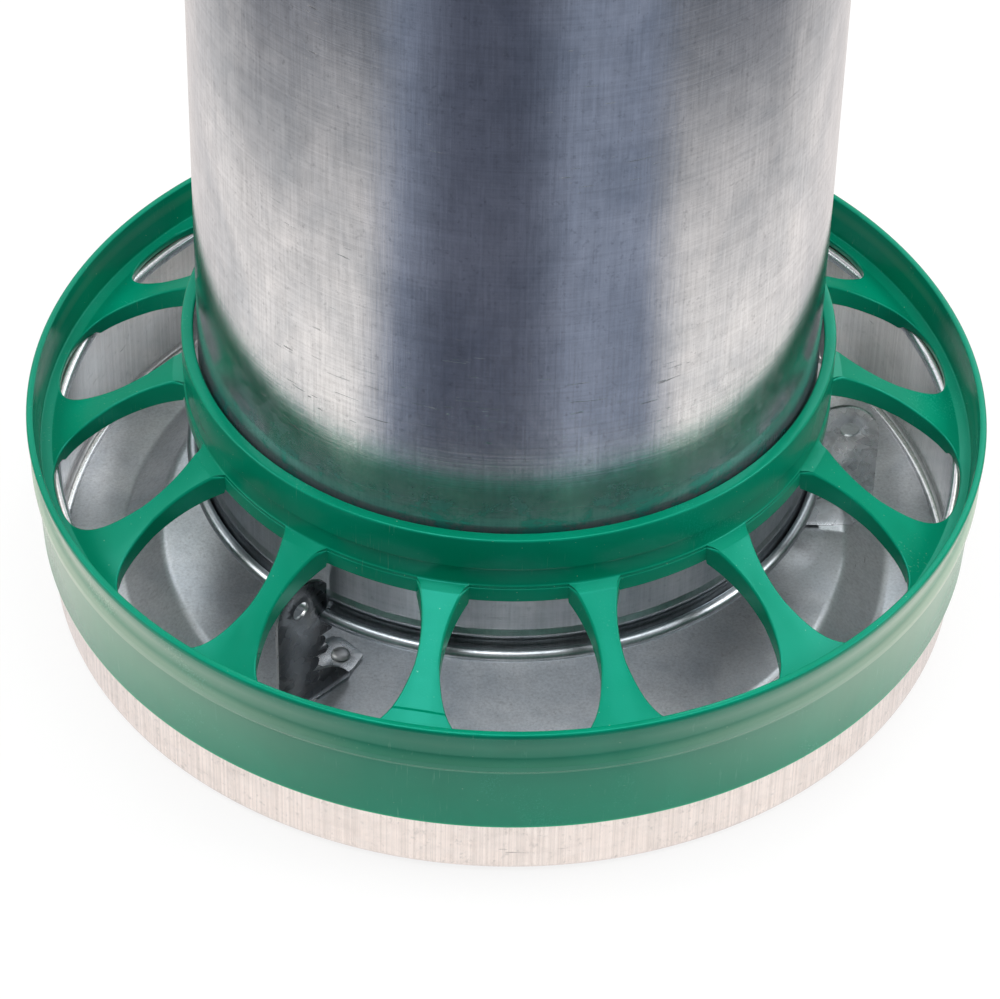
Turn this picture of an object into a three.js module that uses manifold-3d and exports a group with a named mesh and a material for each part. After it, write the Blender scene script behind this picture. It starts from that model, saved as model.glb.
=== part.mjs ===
// Gravity poultry feeder: a galvanised hopper tube hangs by its rolled rim in three
// notched brackets over a pressed pan, and a moulded grille keeps birds out of the feed.
// Millimetres, +Z up, origin on the ground under the middle of the pan.
import * as THREE from "three";
import { mergeVertices } from "three/addons/utils/BufferGeometryUtils.js";
import Module from "manifold-3d";

const wasm = await Module();
wasm.setup();

// ---- Driving dimensions --------------------------------------------------------------

const FIT_GAP = 0.3;                // left between two pieces that touch
const SHEET = 0.7;                  // galvanised sheet of the pan, hopper and lid
const SHEET_FACETS = 36;            // flats round each sheet-metal piece
const RIVET_FACETS = 12;
const CURL_STEPS = 5;               // flats along a rolled rim
const CURL_TURN = 285;              // degrees that a rim is rolled through

const TROUGH_WIDTH = 64;            // from the hopper's wall to the outside of the pan's
const PAN_HEIGHT = 64.7;            // top of the pan's inward-rolled rim
const PAN_WIRE_RADIUS = 1.3;
const PAN_CORNER = 4.5;             // bend between the pan's wall and its floor
const PLATFORM_HEIGHT = 14.7;       // upper face of the raised flat that the brackets stand on
const PLATFORM_MARGIN = 11;         // flat left outside the bracket feet
const RAMP_SHARE = 0.4374;          // share of the way from the flat to the wall that its ramp takes
const DOME_MARGIN = 14;             // flat left between the feet and the dome in the middle
const DOME_RISE = 9;

const HOPPER_RADIUS = 128;          // outside of the hopper's wall
const HOPPER_LENGTH = 420;          // over both rolled rims
const HOPPER_WIRE_RADIUS = 1.7;
const RIM_FLARE = 3;                // middle of the rolled bottom rim, outside the wall
const RIM_HEIGHT = 60.5;            // the same, above the ground
const FLARE = 4;                    // height over which the wall flares out to the rim
const BEAD_RISE = 1.3;              // stiffening bead above the bottom rim
const BEAD_HALF_WIDTH = 3;
const BEAD_ABOVE_RIM = 8.5;

const GRILLE_FACETS = 56;
const LIP_OVERHANG = 8;             // outside of the upstanding lip, beyond the pan's wall
const LIP_HEIGHT = 17;              // lip above the grille's flange
const LIP_WALL = 3;
const FLANGE = 3;                   // thickness of the flange that rests on the pan's rim
const SKIRT_DROP = 35.5;            // skirt below the flange's underside
const SKIRT_WALL = 1.5;
const SKIRT_CLEARANCE = 2.5;        // between the skirt's lower edge and the pan's wall
const SPOKE_CLEARANCE = 1.5;        // between the spokes' underside and the pan's rim
const COLLAR_WALL = 2.3;
const COLLAR_CLEARANCE = 3.5;       // between the collar and the hopper
const COLLAR_RISE = 41;             // collar's top above the lip's top
const COLLAR_BAND = 16;             // depth of the collar's thicker upper band
const COLLAR_BAND_STEP = 0.8;       // how far the band stands out
const COLLAR_FOOT_RISE = 12;        // collar's lower edge above the lip's top
const LIP_TAPER = 2;                // the lip leans out by this much
const BAND_STEP = 0.6;              // bead round the outside, level with the flange
const SPOKES = 14;
const SPOKE_ANGLE = -100;           // degrees from +X to the first spoke
const SPOKE_RISE = 15;              // top of the spokes above the lip's top
const SPOKE_START = 5;              // outside the collar, where the straight slope starts
const SPOKE_DEPTH = 6.5;
const SPOKE_SKIN = 2.5;             // moulded thickness over the hollow underside
const RIB = 2.2;                    // wall round each window, under the skin
const SPOKE_HEAD_HALF = 10.4;       // half width of a spoke at the collar
const SPOKE_WAIST_HALF = 4.33;      // half width where a spoke is narrowest
const WAIST_SHARE = 0.47;           // share of a window's length from the collar to there
const WINDOW_START_GAP = 0.6;       // between the collar and a window
const WINDOW_END_INSET = 9;         // end of a window, inside the lip's outside
const GUARD_OVERLAP = 0.6;          // how far the guard ring reaches into the windows' ends

const BRACKET_SHEET = 1.5;
const BRACKET_ANGLES = [-124, -0.5, 118];
const BRACKET_SKEWS = [-10, 0, 0];  // each plate's turn about its hole, from radial
const BRACKET_FOOT_SIDES = [-1, 1, -1];  // which way each foot is bent
const BRACKET_BEYOND_RIM = 25.5;    // outer edge, outside the rolled rim's middle
const BRACKET_TIP_INSIDE_RIM = 15.6;  // tip of the bracket's arm, inside the same
const BRACKET_CORNER = 16.5;
const BRACKET_HEAD = 14.5;          // radius of the rounded head
const BRACKET_HEAD_ABOVE_RIM = 9;
const BRACKET_HOLE_RADIUS = 4;
const NOTCH_GAP = 0.4;              // between the rolled rim and its notch
const NOTCH_PITCH = 13.2;           // between two feed heights
const NOTCH_DEEPER = [3.2, 7.2];    // how much deeper the two lower notches reach
const NOTCH_LIFT = 3.4;             // end of the lowest notch above the rim's place in it
const NOSE = 4;                     // plate inside the rim between the upper notches
const TOOTH = 2;                    // drooping tooth inside the rim, between the lower ones
const FOOT_INSIDE_RIM = 27;         // foot's inner end, inside the rolled rim's middle
const FOOT_OUTSIDE_RIM = 4;         // foot's outer end, outside it
const FOOT_WIDTH = 22;
const FOOT_CORNER = 5;
const FOOT_RIVET_INSETS = [7.5, 9];  // rivets from the foot's inner and outer ends

const RIVET_RADIUS = 2;
const RIVET_HEAD_RADIUS = 4;
const RIVET_HEAD_HEIGHT = 2;
const RIVET_TAIL_RADIUS = 3.2;
const RIVET_TAIL_HEIGHT = 1.4;

const BAIL_WIRE_RADIUS = 2;
const BAIL_REACH = 200;             // from the ears to the wire's middle at the grip
const BAIL_CORNER = 60;
const BAIL_HEEL = 5;                // bend where the wire turns into the ear
const BAIL_SIDE_GAP = 1.8;          // between the bail and the lid's rim
const BAIL_REST_GAP = 0.5;          // between the stowed bail and the hopper
const BAIL_PIVOT_DROP = 28;         // ear hole below the hopper's top
const BAIL_END_GAP = 3.2;           // between the wire's end and the hopper

const EAR_SHEET = 1.6;
const EAR_HALF_WIDTH = 12;
const EAR_OFFSET = 5.6;             // step that holds the ear's eye off the wall
const EAR_RIVET_SPREAD = 6;
const EAR_RIVET_DROP = 26;          // rivets below the ear's eye
const EAR_FOOT_DROP = 36;           // ear's lower edge below its eye

const LID_WALL_GAP = 1.2;           // between the lid's skirt and the hopper's top rim
const LID_SKIRT = 8;
const LID_HEM_RADIUS = 1.3;
const LID_SHOULDER_INSET = 4;       // start of the lid's cone, inside the hopper's outside
const LID_RISE = 25;
const LID_FLAT = 24;                // flat middle under the knob
const KNOB_RADIUS = 13;
const KNOB_NECK = 7;
const KNOB_HEIGHT = 26;
const SCREW_RADIUS = 2;
const SCREW_HEAD_RADIUS = 4.2;
const SCREW_HEAD_HEIGHT = 2.2;
const SCREW_REACH = 12;             // screw inside the knob

const UP = new THREE.Vector3(0, 0, 1);

// ---- Derived places ------------------------------------------------------------------

const curlRadius = (wire) => (wire + FIT_GAP) / Math.cos(radians(CURL_TURN / CURL_STEPS / 2)) + SHEET / 2;
const panRadius = HOPPER_RADIUS + TROUGH_WIDTH;
const hopperCurl = curlRadius(HOPPER_WIRE_RADIUS);
const panCurl = curlRadius(PAN_WIRE_RADIUS);
const panWall = panRadius - SHEET / 2;
const panCurlRadius = panWall - panCurl;
const panCurlHeight = PAN_HEIGHT - panCurl - SHEET / 2;
const hopperWall = HOPPER_RADIUS - SHEET / 2;
const rimRadius = HOPPER_RADIUS + RIM_FLARE;
const hopperBottom = RIM_HEIGHT - hopperCurl - SHEET / 2;
const hopperTop = hopperBottom + HOPPER_LENGTH;
const hopperTopCurlRadius = hopperWall + hopperCurl;
const hopperTopCurlHeight = hopperTop - hopperCurl - SHEET / 2;
const lipTop = PAN_HEIGHT + FIT_GAP + FLANGE + LIP_HEIGHT;
const grilleRadius = panRadius + LIP_OVERHANG;
const collarOuter = HOPPER_RADIUS + COLLAR_CLEARANCE + COLLAR_WALL;
const windowStart = collarOuter + WINDOW_START_GAP;
const windowEnd = grilleRadius - WINDOW_END_INSET;
const windowWaist = windowStart + (windowEnd - windowStart) * WAIST_SHARE;
const footLevel = PLATFORM_HEIGHT + FIT_GAP;
const footInner = rimRadius - FOOT_INSIDE_RIM;
const footOuter = rimRadius + FOOT_OUTSIDE_RIM;
const platformRadius = footOuter + PLATFORM_MARGIN;
const creaseRadius = platformRadius + (panWall - PAN_CORNER - platformRadius) * RAMP_SHARE;
const domeRadius = footInner - DOME_MARGIN;
const bracketReach = rimRadius + BRACKET_BEYOND_RIM;
const bracketTip = rimRadius - BRACKET_TIP_INSIDE_RIM;
const bracketPivot = bracketReach - BRACKET_HEAD + 2;
const bracketRivets = {
  inner: footInner + FOOT_RIVET_INSETS[0],
  outer: footOuter - FOOT_RIVET_INSETS[1],
};
const bracketRivetOffset = FOOT_WIDTH / 2;
const bracketRivetTop = footLevel + BRACKET_SHEET + FIT_GAP;
const bracketRivetGrip = bracketRivetTop - (PLATFORM_HEIGHT - SHEET - FIT_GAP);
const bailPivotHeight = hopperTop - BAIL_PIVOT_DROP;
const lidWall = hopperTopCurlRadius + hopperCurl + SHEET / 2 + LID_WALL_GAP + SHEET / 2;
const lidOuter = lidWall + 2 * LID_HEM_RADIUS + SHEET / 2;
const lidLevel = hopperTop + FIT_GAP + SHEET / 2;
const bailHalfWidth = lidOuter + BAIL_SIDE_GAP + BAIL_WIRE_RADIUS;
const bailStow = Math.PI - Math.asin((HOPPER_RADIUS + BAIL_REST_GAP + BAIL_WIRE_RADIUS) / BAIL_REACH);
const earFace = HOPPER_RADIUS + FIT_GAP + EAR_SHEET / 2;

// ---- Materials -----------------------------------------------------------------------

const metal = (color, roughness) => new THREE.MeshStandardMaterial({ color, roughness, metalness: 1 });
const plastic = (color, roughness) => new THREE.MeshStandardMaterial({ color, roughness, metalness: 0 });
const galvanisedSheet = metal(0x9aa3ab, 0.35);
const galvanisedPlate = metal(0x7f8890, 0.5);
const zincWire = metal(0xb4bac0, 0.4);
const rivetSteel = metal(0xc4c8cc, 0.35);
const greenPlastic = plastic(0x00805c, 0.4);
const blackPlastic = plastic(0x1c1d1f, 0.5);

// ---- Shared shape tools --------------------------------------------------------------

function radians(degrees) {
  return (degrees * Math.PI) / 180;
}

function arcPoints(x, y, radius, fromDegrees, toDegrees, steps) {
  return Array.from({ length: steps + 1 }, (_, i) => {
    const angle = radians(fromDegrees + ((toDegrees - fromDegrees) * i) / steps);
    return [x + radius * Math.cos(angle), y + radius * Math.sin(angle)];
  });
}

// Closed outline of a bent sheet: its middle line moved half a thickness each way.
function sheetOutline(middle, thickness) {
  const points = middle.map(([x, y]) => new THREE.Vector2(x, y));
  const side = (sign) => points.map((point, i) => {
    const before = points[Math.max(i - 1, 0)];
    const after = points[Math.min(i + 1, points.length - 1)];
    const into = point.clone().sub(before).normalize();
    const out = after.clone().sub(point).normalize();
    const first = into.lengthSq() ? into : out;
    const last = out.lengthSq() ? out : into;
    const normal = new THREE.Vector2(first.y + last.y, -first.x - last.x).normalize();
    const spread = Math.sqrt((1 + first.dot(last)) / 2);
    return point.clone().addScaledVector(normal, (sign * thickness) / 2 / spread);
  });
  return [...side(1), ...side(-1).reverse()];
}

// Turned solid about +Z. The outline runs anticlockwise, radius first, then height.
function turned(outline, facets) {
  const points = outline.map((p) => (p.isVector2 ? p : new THREE.Vector2(p[0], p[1])));
  const closes = points[0].x > 0 || points.at(-1).x > 0;
  const profile = closes ? [...points, points[0]] : points;
  return new THREE.LatheGeometry(profile, facets).rotateX(Math.PI / 2);
}

// Flat shape in the XY plane, pushed up along +Z from a height.
function slab(shape, from, height, curveSegments = 6) {
  const options = { depth: height, bevelEnabled: false, curveSegments };
  return new THREE.ExtrudeGeometry(shape, options).translate(0, 0, from);
}

// The same, stood up so that the shape's Y is height, and centred on the XZ plane.
function upright(shape, thickness, curveSegments = 6) {
  return slab(shape, -thickness / 2, thickness, curveSegments).rotateX(Math.PI / 2);
}

function disc(radius) {
  return new THREE.Shape().absarc(0, 0, radius, 0, 2 * Math.PI, false);
}

function solid(geometry) {
  const bare = geometry.clone();
  bare.deleteAttribute("normal");
  bare.deleteAttribute("uv");
  const merged = mergeVertices(bare, 1e-4);
  const index = merged.index.array;
  const kept = [];
  for (let i = 0; i < index.length; i += 3) {
    const [a, b, c] = index.slice(i, i + 3);
    if (a !== b && b !== c && c !== a) kept.push(a, b, c);
  }
  const vertProperties = new Float32Array(merged.attributes.position.array);
  return new wasm.Manifold(new wasm.Mesh({ numProp: 3, vertProperties, triVerts: new Uint32Array(kept) }));
}

function piece(name, shape, material) {
  const mesh = (shape.isBufferGeometry ? solid(shape) : shape).getMesh();
  const geometry = new THREE.BufferGeometry();
  geometry.setAttribute("position", new THREE.BufferAttribute(mesh.vertProperties, 3));
  geometry.setIndex(new THREE.BufferAttribute(mesh.triVerts, 1));
  geometry.computeVertexNormals();
  const object = new THREE.Mesh(geometry, material);
  object.name = name;
  return object;
}

// A wire through corner points, with one cross-section at each point.
class BentWire extends THREE.Curve {
  constructor(points) {
    super();
    this.points = points;
  }

  getPoint(t) {
    const place = t * (this.points.length - 1);
    const start = Math.min(Math.floor(place), this.points.length - 2);
    return this.points[start].clone().lerp(this.points[start + 1], place - start);
  }

  getPointAt(t) {
    return this.getPoint(t);
  }

  getTangentAt(t) {
    const i = Math.round(t * (this.points.length - 1));
    const before = this.points[Math.max(i - 1, 0)];
    const after = this.points[Math.min(i + 1, this.points.length - 1)];
    const into = this.points[i].clone().sub(before).normalize();
    const out = after.clone().sub(this.points[i]).normalize();
    return into.add(out).normalize();
  }
}

function wireRing(name, radius, height, wireRadius) {
  const ring = turned(arcPoints(radius, height, wireRadius, 0, 300, 5), SHEET_FACETS);
  return piece(name, ring, zincWire);
}

// Rivet along Z: the head sits above z = 0 and the tail is formed below the grip.
function rivet(name, grip) {
  const dome = arcPoints(0, 0, 1, 0, 90, 3).map(([x, y]) => [x * RIVET_HEAD_RADIUS, y * RIVET_HEAD_HEIGHT]);
  dome[dome.length - 1][0] = 0;
  const outline = [
    [0, -grip - RIVET_TAIL_HEIGHT],
    [RIVET_TAIL_RADIUS - 0.6, -grip - RIVET_TAIL_HEIGHT],
    [RIVET_TAIL_RADIUS, -grip],
    [RIVET_RADIUS, -grip],
    [RIVET_RADIUS, 0],
    ...dome,
  ];
  return piece(name, turned(outline, RIVET_FACETS), rivetSteel);
}

// Drill for a rivet or screw along Z, clear of its shank.
function drill(radius, from, height) {
  return solid(slab(disc(radius + FIT_GAP), from, height, RIVET_FACETS / 2));
}

// ---- Pan -----------------------------------------------------------------------------

function pan() {
  const floor = SHEET / 2;
  const platform = PLATFORM_HEIGHT - SHEET / 2;
  const middle = [
    [0, platform + DOME_RISE],
    [domeRadius * 0.3, platform + DOME_RISE * 0.9],
    [domeRadius * 0.7, platform + DOME_RISE * 0.45],
    [domeRadius, platform],
    [platformRadius, platform],
    [creaseRadius, floor],
    ...arcPoints(panWall - PAN_CORNER, floor + PAN_CORNER, PAN_CORNER, -90, 0, 3),
    ...arcPoints(panCurlRadius, panCurlHeight, panCurl, 0, CURL_TURN, CURL_STEPS),
  ];
  const outline = sheetOutline(middle, SHEET);
  outline[0].x = 0;
  outline.at(-1).x = 0;
  let body = solid(turned(outline, SHEET_FACETS));
  BRACKET_ANGLES.forEach((angle, i) => {
    for (const radius of Object.values(bracketRivets)) {
      const hole = drill(RIVET_RADIUS, 0, PLATFORM_HEIGHT + FIT_GAP);
      const offset = bracketRivetOffset * BRACKET_FOOT_SIDES[i];
      const turnedHole = hole.translate([radius - bracketPivot, offset, 0]).rotate([0, 0, BRACKET_SKEWS[i]]);
      body = body.subtract(turnedHole.translate([bracketPivot, 0, 0]).rotate([0, 0, angle]));
    }
  });
  return piece("pan", body, galvanisedSheet);
}

// ---- Brackets ------------------------------------------------------------------------

function bracketPlate() {
  const rim = hopperCurl + SHEET / 2;
  const notch = rim + NOTCH_GAP;
  const headMiddle = bracketReach - BRACKET_HEAD;
  const headHeight = RIM_HEIGHT + BRACKET_HEAD_ABOVE_RIM;
  const headInner = HOPPER_RADIUS + BEAD_RISE + 2 * FIT_GAP;
  const headEnd = Math.acos((headInner - headMiddle) / BRACKET_HEAD);
  const second = RIM_HEIGHT - NOTCH_PITCH;
  const third = second - NOTCH_PITCH;
  const nose = rimRadius - NOSE;
  const tooth = rimRadius - TOOTH;
  const gum = second - notch;
  const [deeper, deepest] = NOTCH_DEEPER;
  const shape = new THREE.Shape();
  shape.moveTo(bracketTip, footLevel);
  shape.lineTo(bracketReach - BRACKET_CORNER, footLevel);
  const corner = bracketReach - BRACKET_CORNER;
  shape.absarc(corner, footLevel + BRACKET_CORNER, BRACKET_CORNER, -Math.PI / 2, 0, false);
  shape.absarc(headMiddle, headHeight, BRACKET_HEAD, 0, headEnd, false);
  shape.lineTo(headInner, RIM_HEIGHT + notch);
  shape.absarc(rimRadius, RIM_HEIGHT, notch, Math.PI / 2, -Math.PI / 2, true);
  shape.lineTo(nose, RIM_HEIGHT - notch);
  shape.lineTo(nose, second + notch);
  shape.absarc(rimRadius + deeper, second, notch, Math.PI / 2, -Math.PI / 2, true);
  shape.lineTo(tooth + 1, gum);
  shape.lineTo(tooth, gum - TOOTH);
  shape.lineTo(tooth + 1.5, gum - 4.5);
  shape.absarc(rimRadius + deepest, third + NOTCH_LIFT, notch + NOTCH_GAP, Math.PI / 2, -Math.PI / 2, true);
  shape.lineTo(rimRadius, third - notch);
  shape.quadraticCurveTo(bracketTip + 6, footLevel + 12, bracketTip, footLevel);
  shape.holes.push(new THREE.Path().absarc(bracketPivot, headHeight + 2, BRACKET_HOLE_RADIUS, 0, 2 * Math.PI));
  return solid(upright(shape, BRACKET_SHEET, 5));
}

function bracketFoot(side) {
  const back = (-side * BRACKET_SHEET) / 2;
  const free = side * FOOT_WIDTH;
  const bend = side * FOOT_CORNER;
  const shape = new THREE.Shape();
  shape.moveTo(bracketTip, back);
  shape.lineTo(footOuter, back);
  shape.lineTo(footOuter, free - bend);
  shape.quadraticCurveTo(footOuter, free, footOuter - FOOT_CORNER, free);
  shape.lineTo(footInner + FOOT_CORNER, free);
  shape.quadraticCurveTo(footInner, free, footInner, free - bend);
  shape.lineTo(footInner, bend);
  let foot = solid(slab(shape, footLevel, BRACKET_SHEET, 3));
  for (const radius of Object.values(bracketRivets)) {
    const hole = drill(RIVET_RADIUS, footLevel - FIT_GAP, BRACKET_SHEET + 2 * FIT_GAP);
    foot = foot.subtract(hole.translate([radius, side * bracketRivetOffset, 0]));
  }
  return foot;
}

function bracketStation(angle, skew, side, number) {
  const station = new THREE.Group();
  station.rotation.z = radians(angle + skew);
  const swing = new THREE.Vector3(bracketPivot, 0, 0);
  station.position.copy(swing.clone().applyAxisAngle(UP, radians(angle)));
  station.position.sub(swing.clone().applyAxisAngle(UP, radians(angle + skew)));
  station.add(piece(`bracket_${number}`, bracketPlate().add(bracketFoot(side)), galvanisedPlate));
  for (const [place, radius] of Object.entries(bracketRivets)) {
    const fastener = rivet(`bracket_${number}_rivet_${place}`, bracketRivetGrip);
    fastener.position.set(radius, side * bracketRivetOffset, bracketRivetTop);
    station.add(fastener);
  }
  return station;
}

// ---- Hopper --------------------------------------------------------------------------

function hopperTube() {
  const bead = RIM_HEIGHT + BEAD_ABOVE_RIM;
  const middle = [
    ...arcPoints(rimRadius, RIM_HEIGHT, hopperCurl, CURL_TURN - 180, -180, CURL_STEPS),
    [hopperWall, RIM_HEIGHT + FLARE],
    [hopperWall, bead - BEAD_HALF_WIDTH],
    [hopperWall + BEAD_RISE, bead],
    [hopperWall, bead + BEAD_HALF_WIDTH],
    ...arcPoints(hopperTopCurlRadius, hopperTopCurlHeight, hopperCurl, 180, 180 - CURL_TURN, CURL_STEPS),
  ];
  let body = solid(turned(sheetOutline(middle, SHEET), SHEET_FACETS));
  for (const side of [-1, 1]) {
    for (const spread of [-EAR_RIVET_SPREAD, EAR_RIVET_SPREAD]) {
      const hole = drill(RIVET_RADIUS, HOPPER_RADIUS - 10, 20).rotate([0, 90 * side, 0]);
      body = body.subtract(hole.translate([0, spread, bailPivotHeight - EAR_RIVET_DROP]));
    }
  }
  return piece("hopper_tube", body, galvanisedSheet);
}

// Stepped plate riveted to the wall, with the eye that the bail turns in.
function bailEar(name) {
  const eye = earFace + EAR_OFFSET;
  const side = sheetOutline([
    [earFace, -EAR_FOOT_DROP],
    [earFace, -EAR_HALF_WIDTH - 6],
    [eye, -EAR_HALF_WIDTH + 2],
    [eye, EAR_HALF_WIDTH],
  ], EAR_SHEET);
  const front = new THREE.Shape();
  front.moveTo(-EAR_HALF_WIDTH, -EAR_FOOT_DROP);
  front.lineTo(EAR_HALF_WIDTH, -EAR_FOOT_DROP);
  front.absarc(0, 0, EAR_HALF_WIDTH, 0, Math.PI, false);
  const silhouette = upright(front, 40, 6).rotateZ(Math.PI / 2).translate(HOPPER_RADIUS, 0, 0);
  let body = solid(upright(new THREE.Shape(side), 2 * EAR_HALF_WIDTH + 2)).intersect(solid(silhouette));
  body = body.subtract(drill(BAIL_WIRE_RADIUS, HOPPER_RADIUS - 10, 30).rotate([0, 90, 0]));
  for (const spread of [-EAR_RIVET_SPREAD, EAR_RIVET_SPREAD]) {
    const hole = drill(RIVET_RADIUS, HOPPER_RADIUS - 10, 30).rotate([0, 90, 0]);
    body = body.subtract(hole.translate([0, spread, -EAR_RIVET_DROP]));
  }
  return piece(name, body, galvanisedPlate);
}

function earStation(name, angle) {
  const station = new THREE.Group();
  station.rotation.z = angle;
  station.position.z = bailPivotHeight;
  station.add(bailEar(name));
  const headFace = earFace + EAR_SHEET / 2 + FIT_GAP;
  const wallFace = (HOPPER_RADIUS - SHEET) * Math.cos(Math.PI / SHEET_FACETS) - 2 * FIT_GAP;
  for (const [place, spread] of [["front", -EAR_RIVET_SPREAD], ["back", EAR_RIVET_SPREAD]]) {
    const fastener = rivet(`${name}_rivet_${place}`, headFace - wallFace);
    fastener.rotation.y = Math.PI / 2;
    fastener.position.set(headFace, spread, -EAR_RIVET_DROP);
    station.add(fastener);
  }
  return station;
}

function bail() {
  const heel = bailHalfWidth - BAIL_HEEL;
  const shoulder = bailHalfWidth - BAIL_CORNER;
  const half = [
    [HOPPER_RADIUS + BAIL_END_GAP, 0],
    ...arcPoints(heel, BAIL_HEEL, BAIL_HEEL, -90, 0, 3),
    ...arcPoints(shoulder, BAIL_REACH - BAIL_CORNER, BAIL_CORNER, 0, 90, 5),
  ];
  const other = half.map(([x, z]) => [-x, z]).reverse();
  const path = new BentWire([...half, ...other].map(([x, z]) => new THREE.Vector3(x, 0, z)));
  const section = new THREE.Shape(arcPoints(0, 0, BAIL_WIRE_RADIUS, 0, 315, 7).map(([x, y]) => new THREE.Vector2(x, y)));
  const options = { steps: path.points.length - 1, extrudePath: path, bevelEnabled: false };
  const wire = piece("bail", new THREE.ExtrudeGeometry(section, options), zincWire);
  wire.position.z = bailPivotHeight;
  wire.rotation.x = -bailStow;
  return wire;
}

// ---- Lid -----------------------------------------------------------------------------

function lid() {
  const hem = LID_HEM_RADIUS;
  const crown = lidLevel + LID_RISE;
  const middle = [
    [SCREW_RADIUS + FIT_GAP, crown],
    [LID_FLAT, crown],
    [HOPPER_RADIUS - LID_SHOULDER_INSET, lidLevel],
    [lidWall - 1, lidLevel],
    [lidWall, lidLevel - 1],
    ...arcPoints(lidWall + hem, lidLevel - LID_SKIRT, hem, 180, 400, 4),
  ];
  return piece("lid", turned(sheetOutline(middle, SHEET), SHEET_FACETS), galvanisedSheet);
}

function lidKnob() {
  const base = lidLevel + LID_RISE + SHEET / 2 + FIT_GAP;
  const ball = base + KNOB_HEIGHT - KNOB_RADIUS;
  const dome = arcPoints(0, ball, KNOB_RADIUS, -50, 90, 6);
  dome[dome.length - 1][0] = 0;
  const outline = [
    [0, base + SCREW_REACH + 2],
    [SCREW_RADIUS + FIT_GAP, base + SCREW_REACH + 1],
    [SCREW_RADIUS + FIT_GAP, base],
    [KNOB_NECK + 3, base],
    [KNOB_NECK + 3, base + 2],
    [KNOB_NECK, base + 3.5],
    ...dome,
  ];
  return piece("lid_knob", turned(outline, 20), blackPlastic);
}

function lidScrew() {
  const seat = lidLevel + LID_RISE - SHEET / 2 - FIT_GAP;
  const tip = lidLevel + LID_RISE + SHEET / 2 + FIT_GAP + SCREW_REACH;
  const outline = [
    [0, seat - SCREW_HEAD_HEIGHT],
    [SCREW_HEAD_RADIUS - 1, seat - SCREW_HEAD_HEIGHT],
    [SCREW_HEAD_RADIUS, seat - 1],
    [SCREW_HEAD_RADIUS, seat],
    [SCREW_RADIUS, seat],
    [SCREW_RADIUS, tip - 1],
    [0, tip],
  ];
  return piece("lid_screw", turned(outline, RIVET_FACETS), rivetSteel);
}

// ---- Feed grille ---------------------------------------------------------------------

// Outline of one window, straight out along +X, made larger all round by "grow".
function windowShape(grow) {
  const halfPitch = Math.sin(Math.PI / SPOKES);
  const collar = windowStart - grow;
  const inner = windowStart * halfPitch - SPOKE_HEAD_HALF + grow;
  const waist = windowWaist * halfPitch - SPOKE_WAIST_HALF + grow;
  const end = windowEnd + grow;
  const angle = Math.asin(inner / collar);
  const start = collar * Math.cos(angle);
  const lead = start + (windowWaist - start) * 0.45;
  const shape = new THREE.Shape();
  shape.moveTo(start, -inner);
  shape.quadraticCurveTo(lead, -waist + 1.5, windowWaist, -waist);
  shape.bezierCurveTo(end - 10, -waist, end, -waist + 5.5, end, 0);
  shape.bezierCurveTo(end, waist - 5.5, end - 10, waist, windowWaist, waist);
  shape.quadraticCurveTo(lead, waist - 1.5, start, inner);
  shape.absarc(0, 0, collar, angle, -angle, true);
  return shape;
}

function windowCutters(grow) {
  const pitch = 360 / SPOKES;
  const low = lipTop - 60;
  const high = lipTop + COLLAR_RISE - COLLAR_BAND - 1;
  const cutter = solid(slab(windowShape(grow), low, high - low, 3));
  return Array.from({ length: SPOKES }, (_, i) => cutter.rotate([0, 0, SPOKE_ANGLE + pitch * (i + 0.5)]));
}

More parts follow.
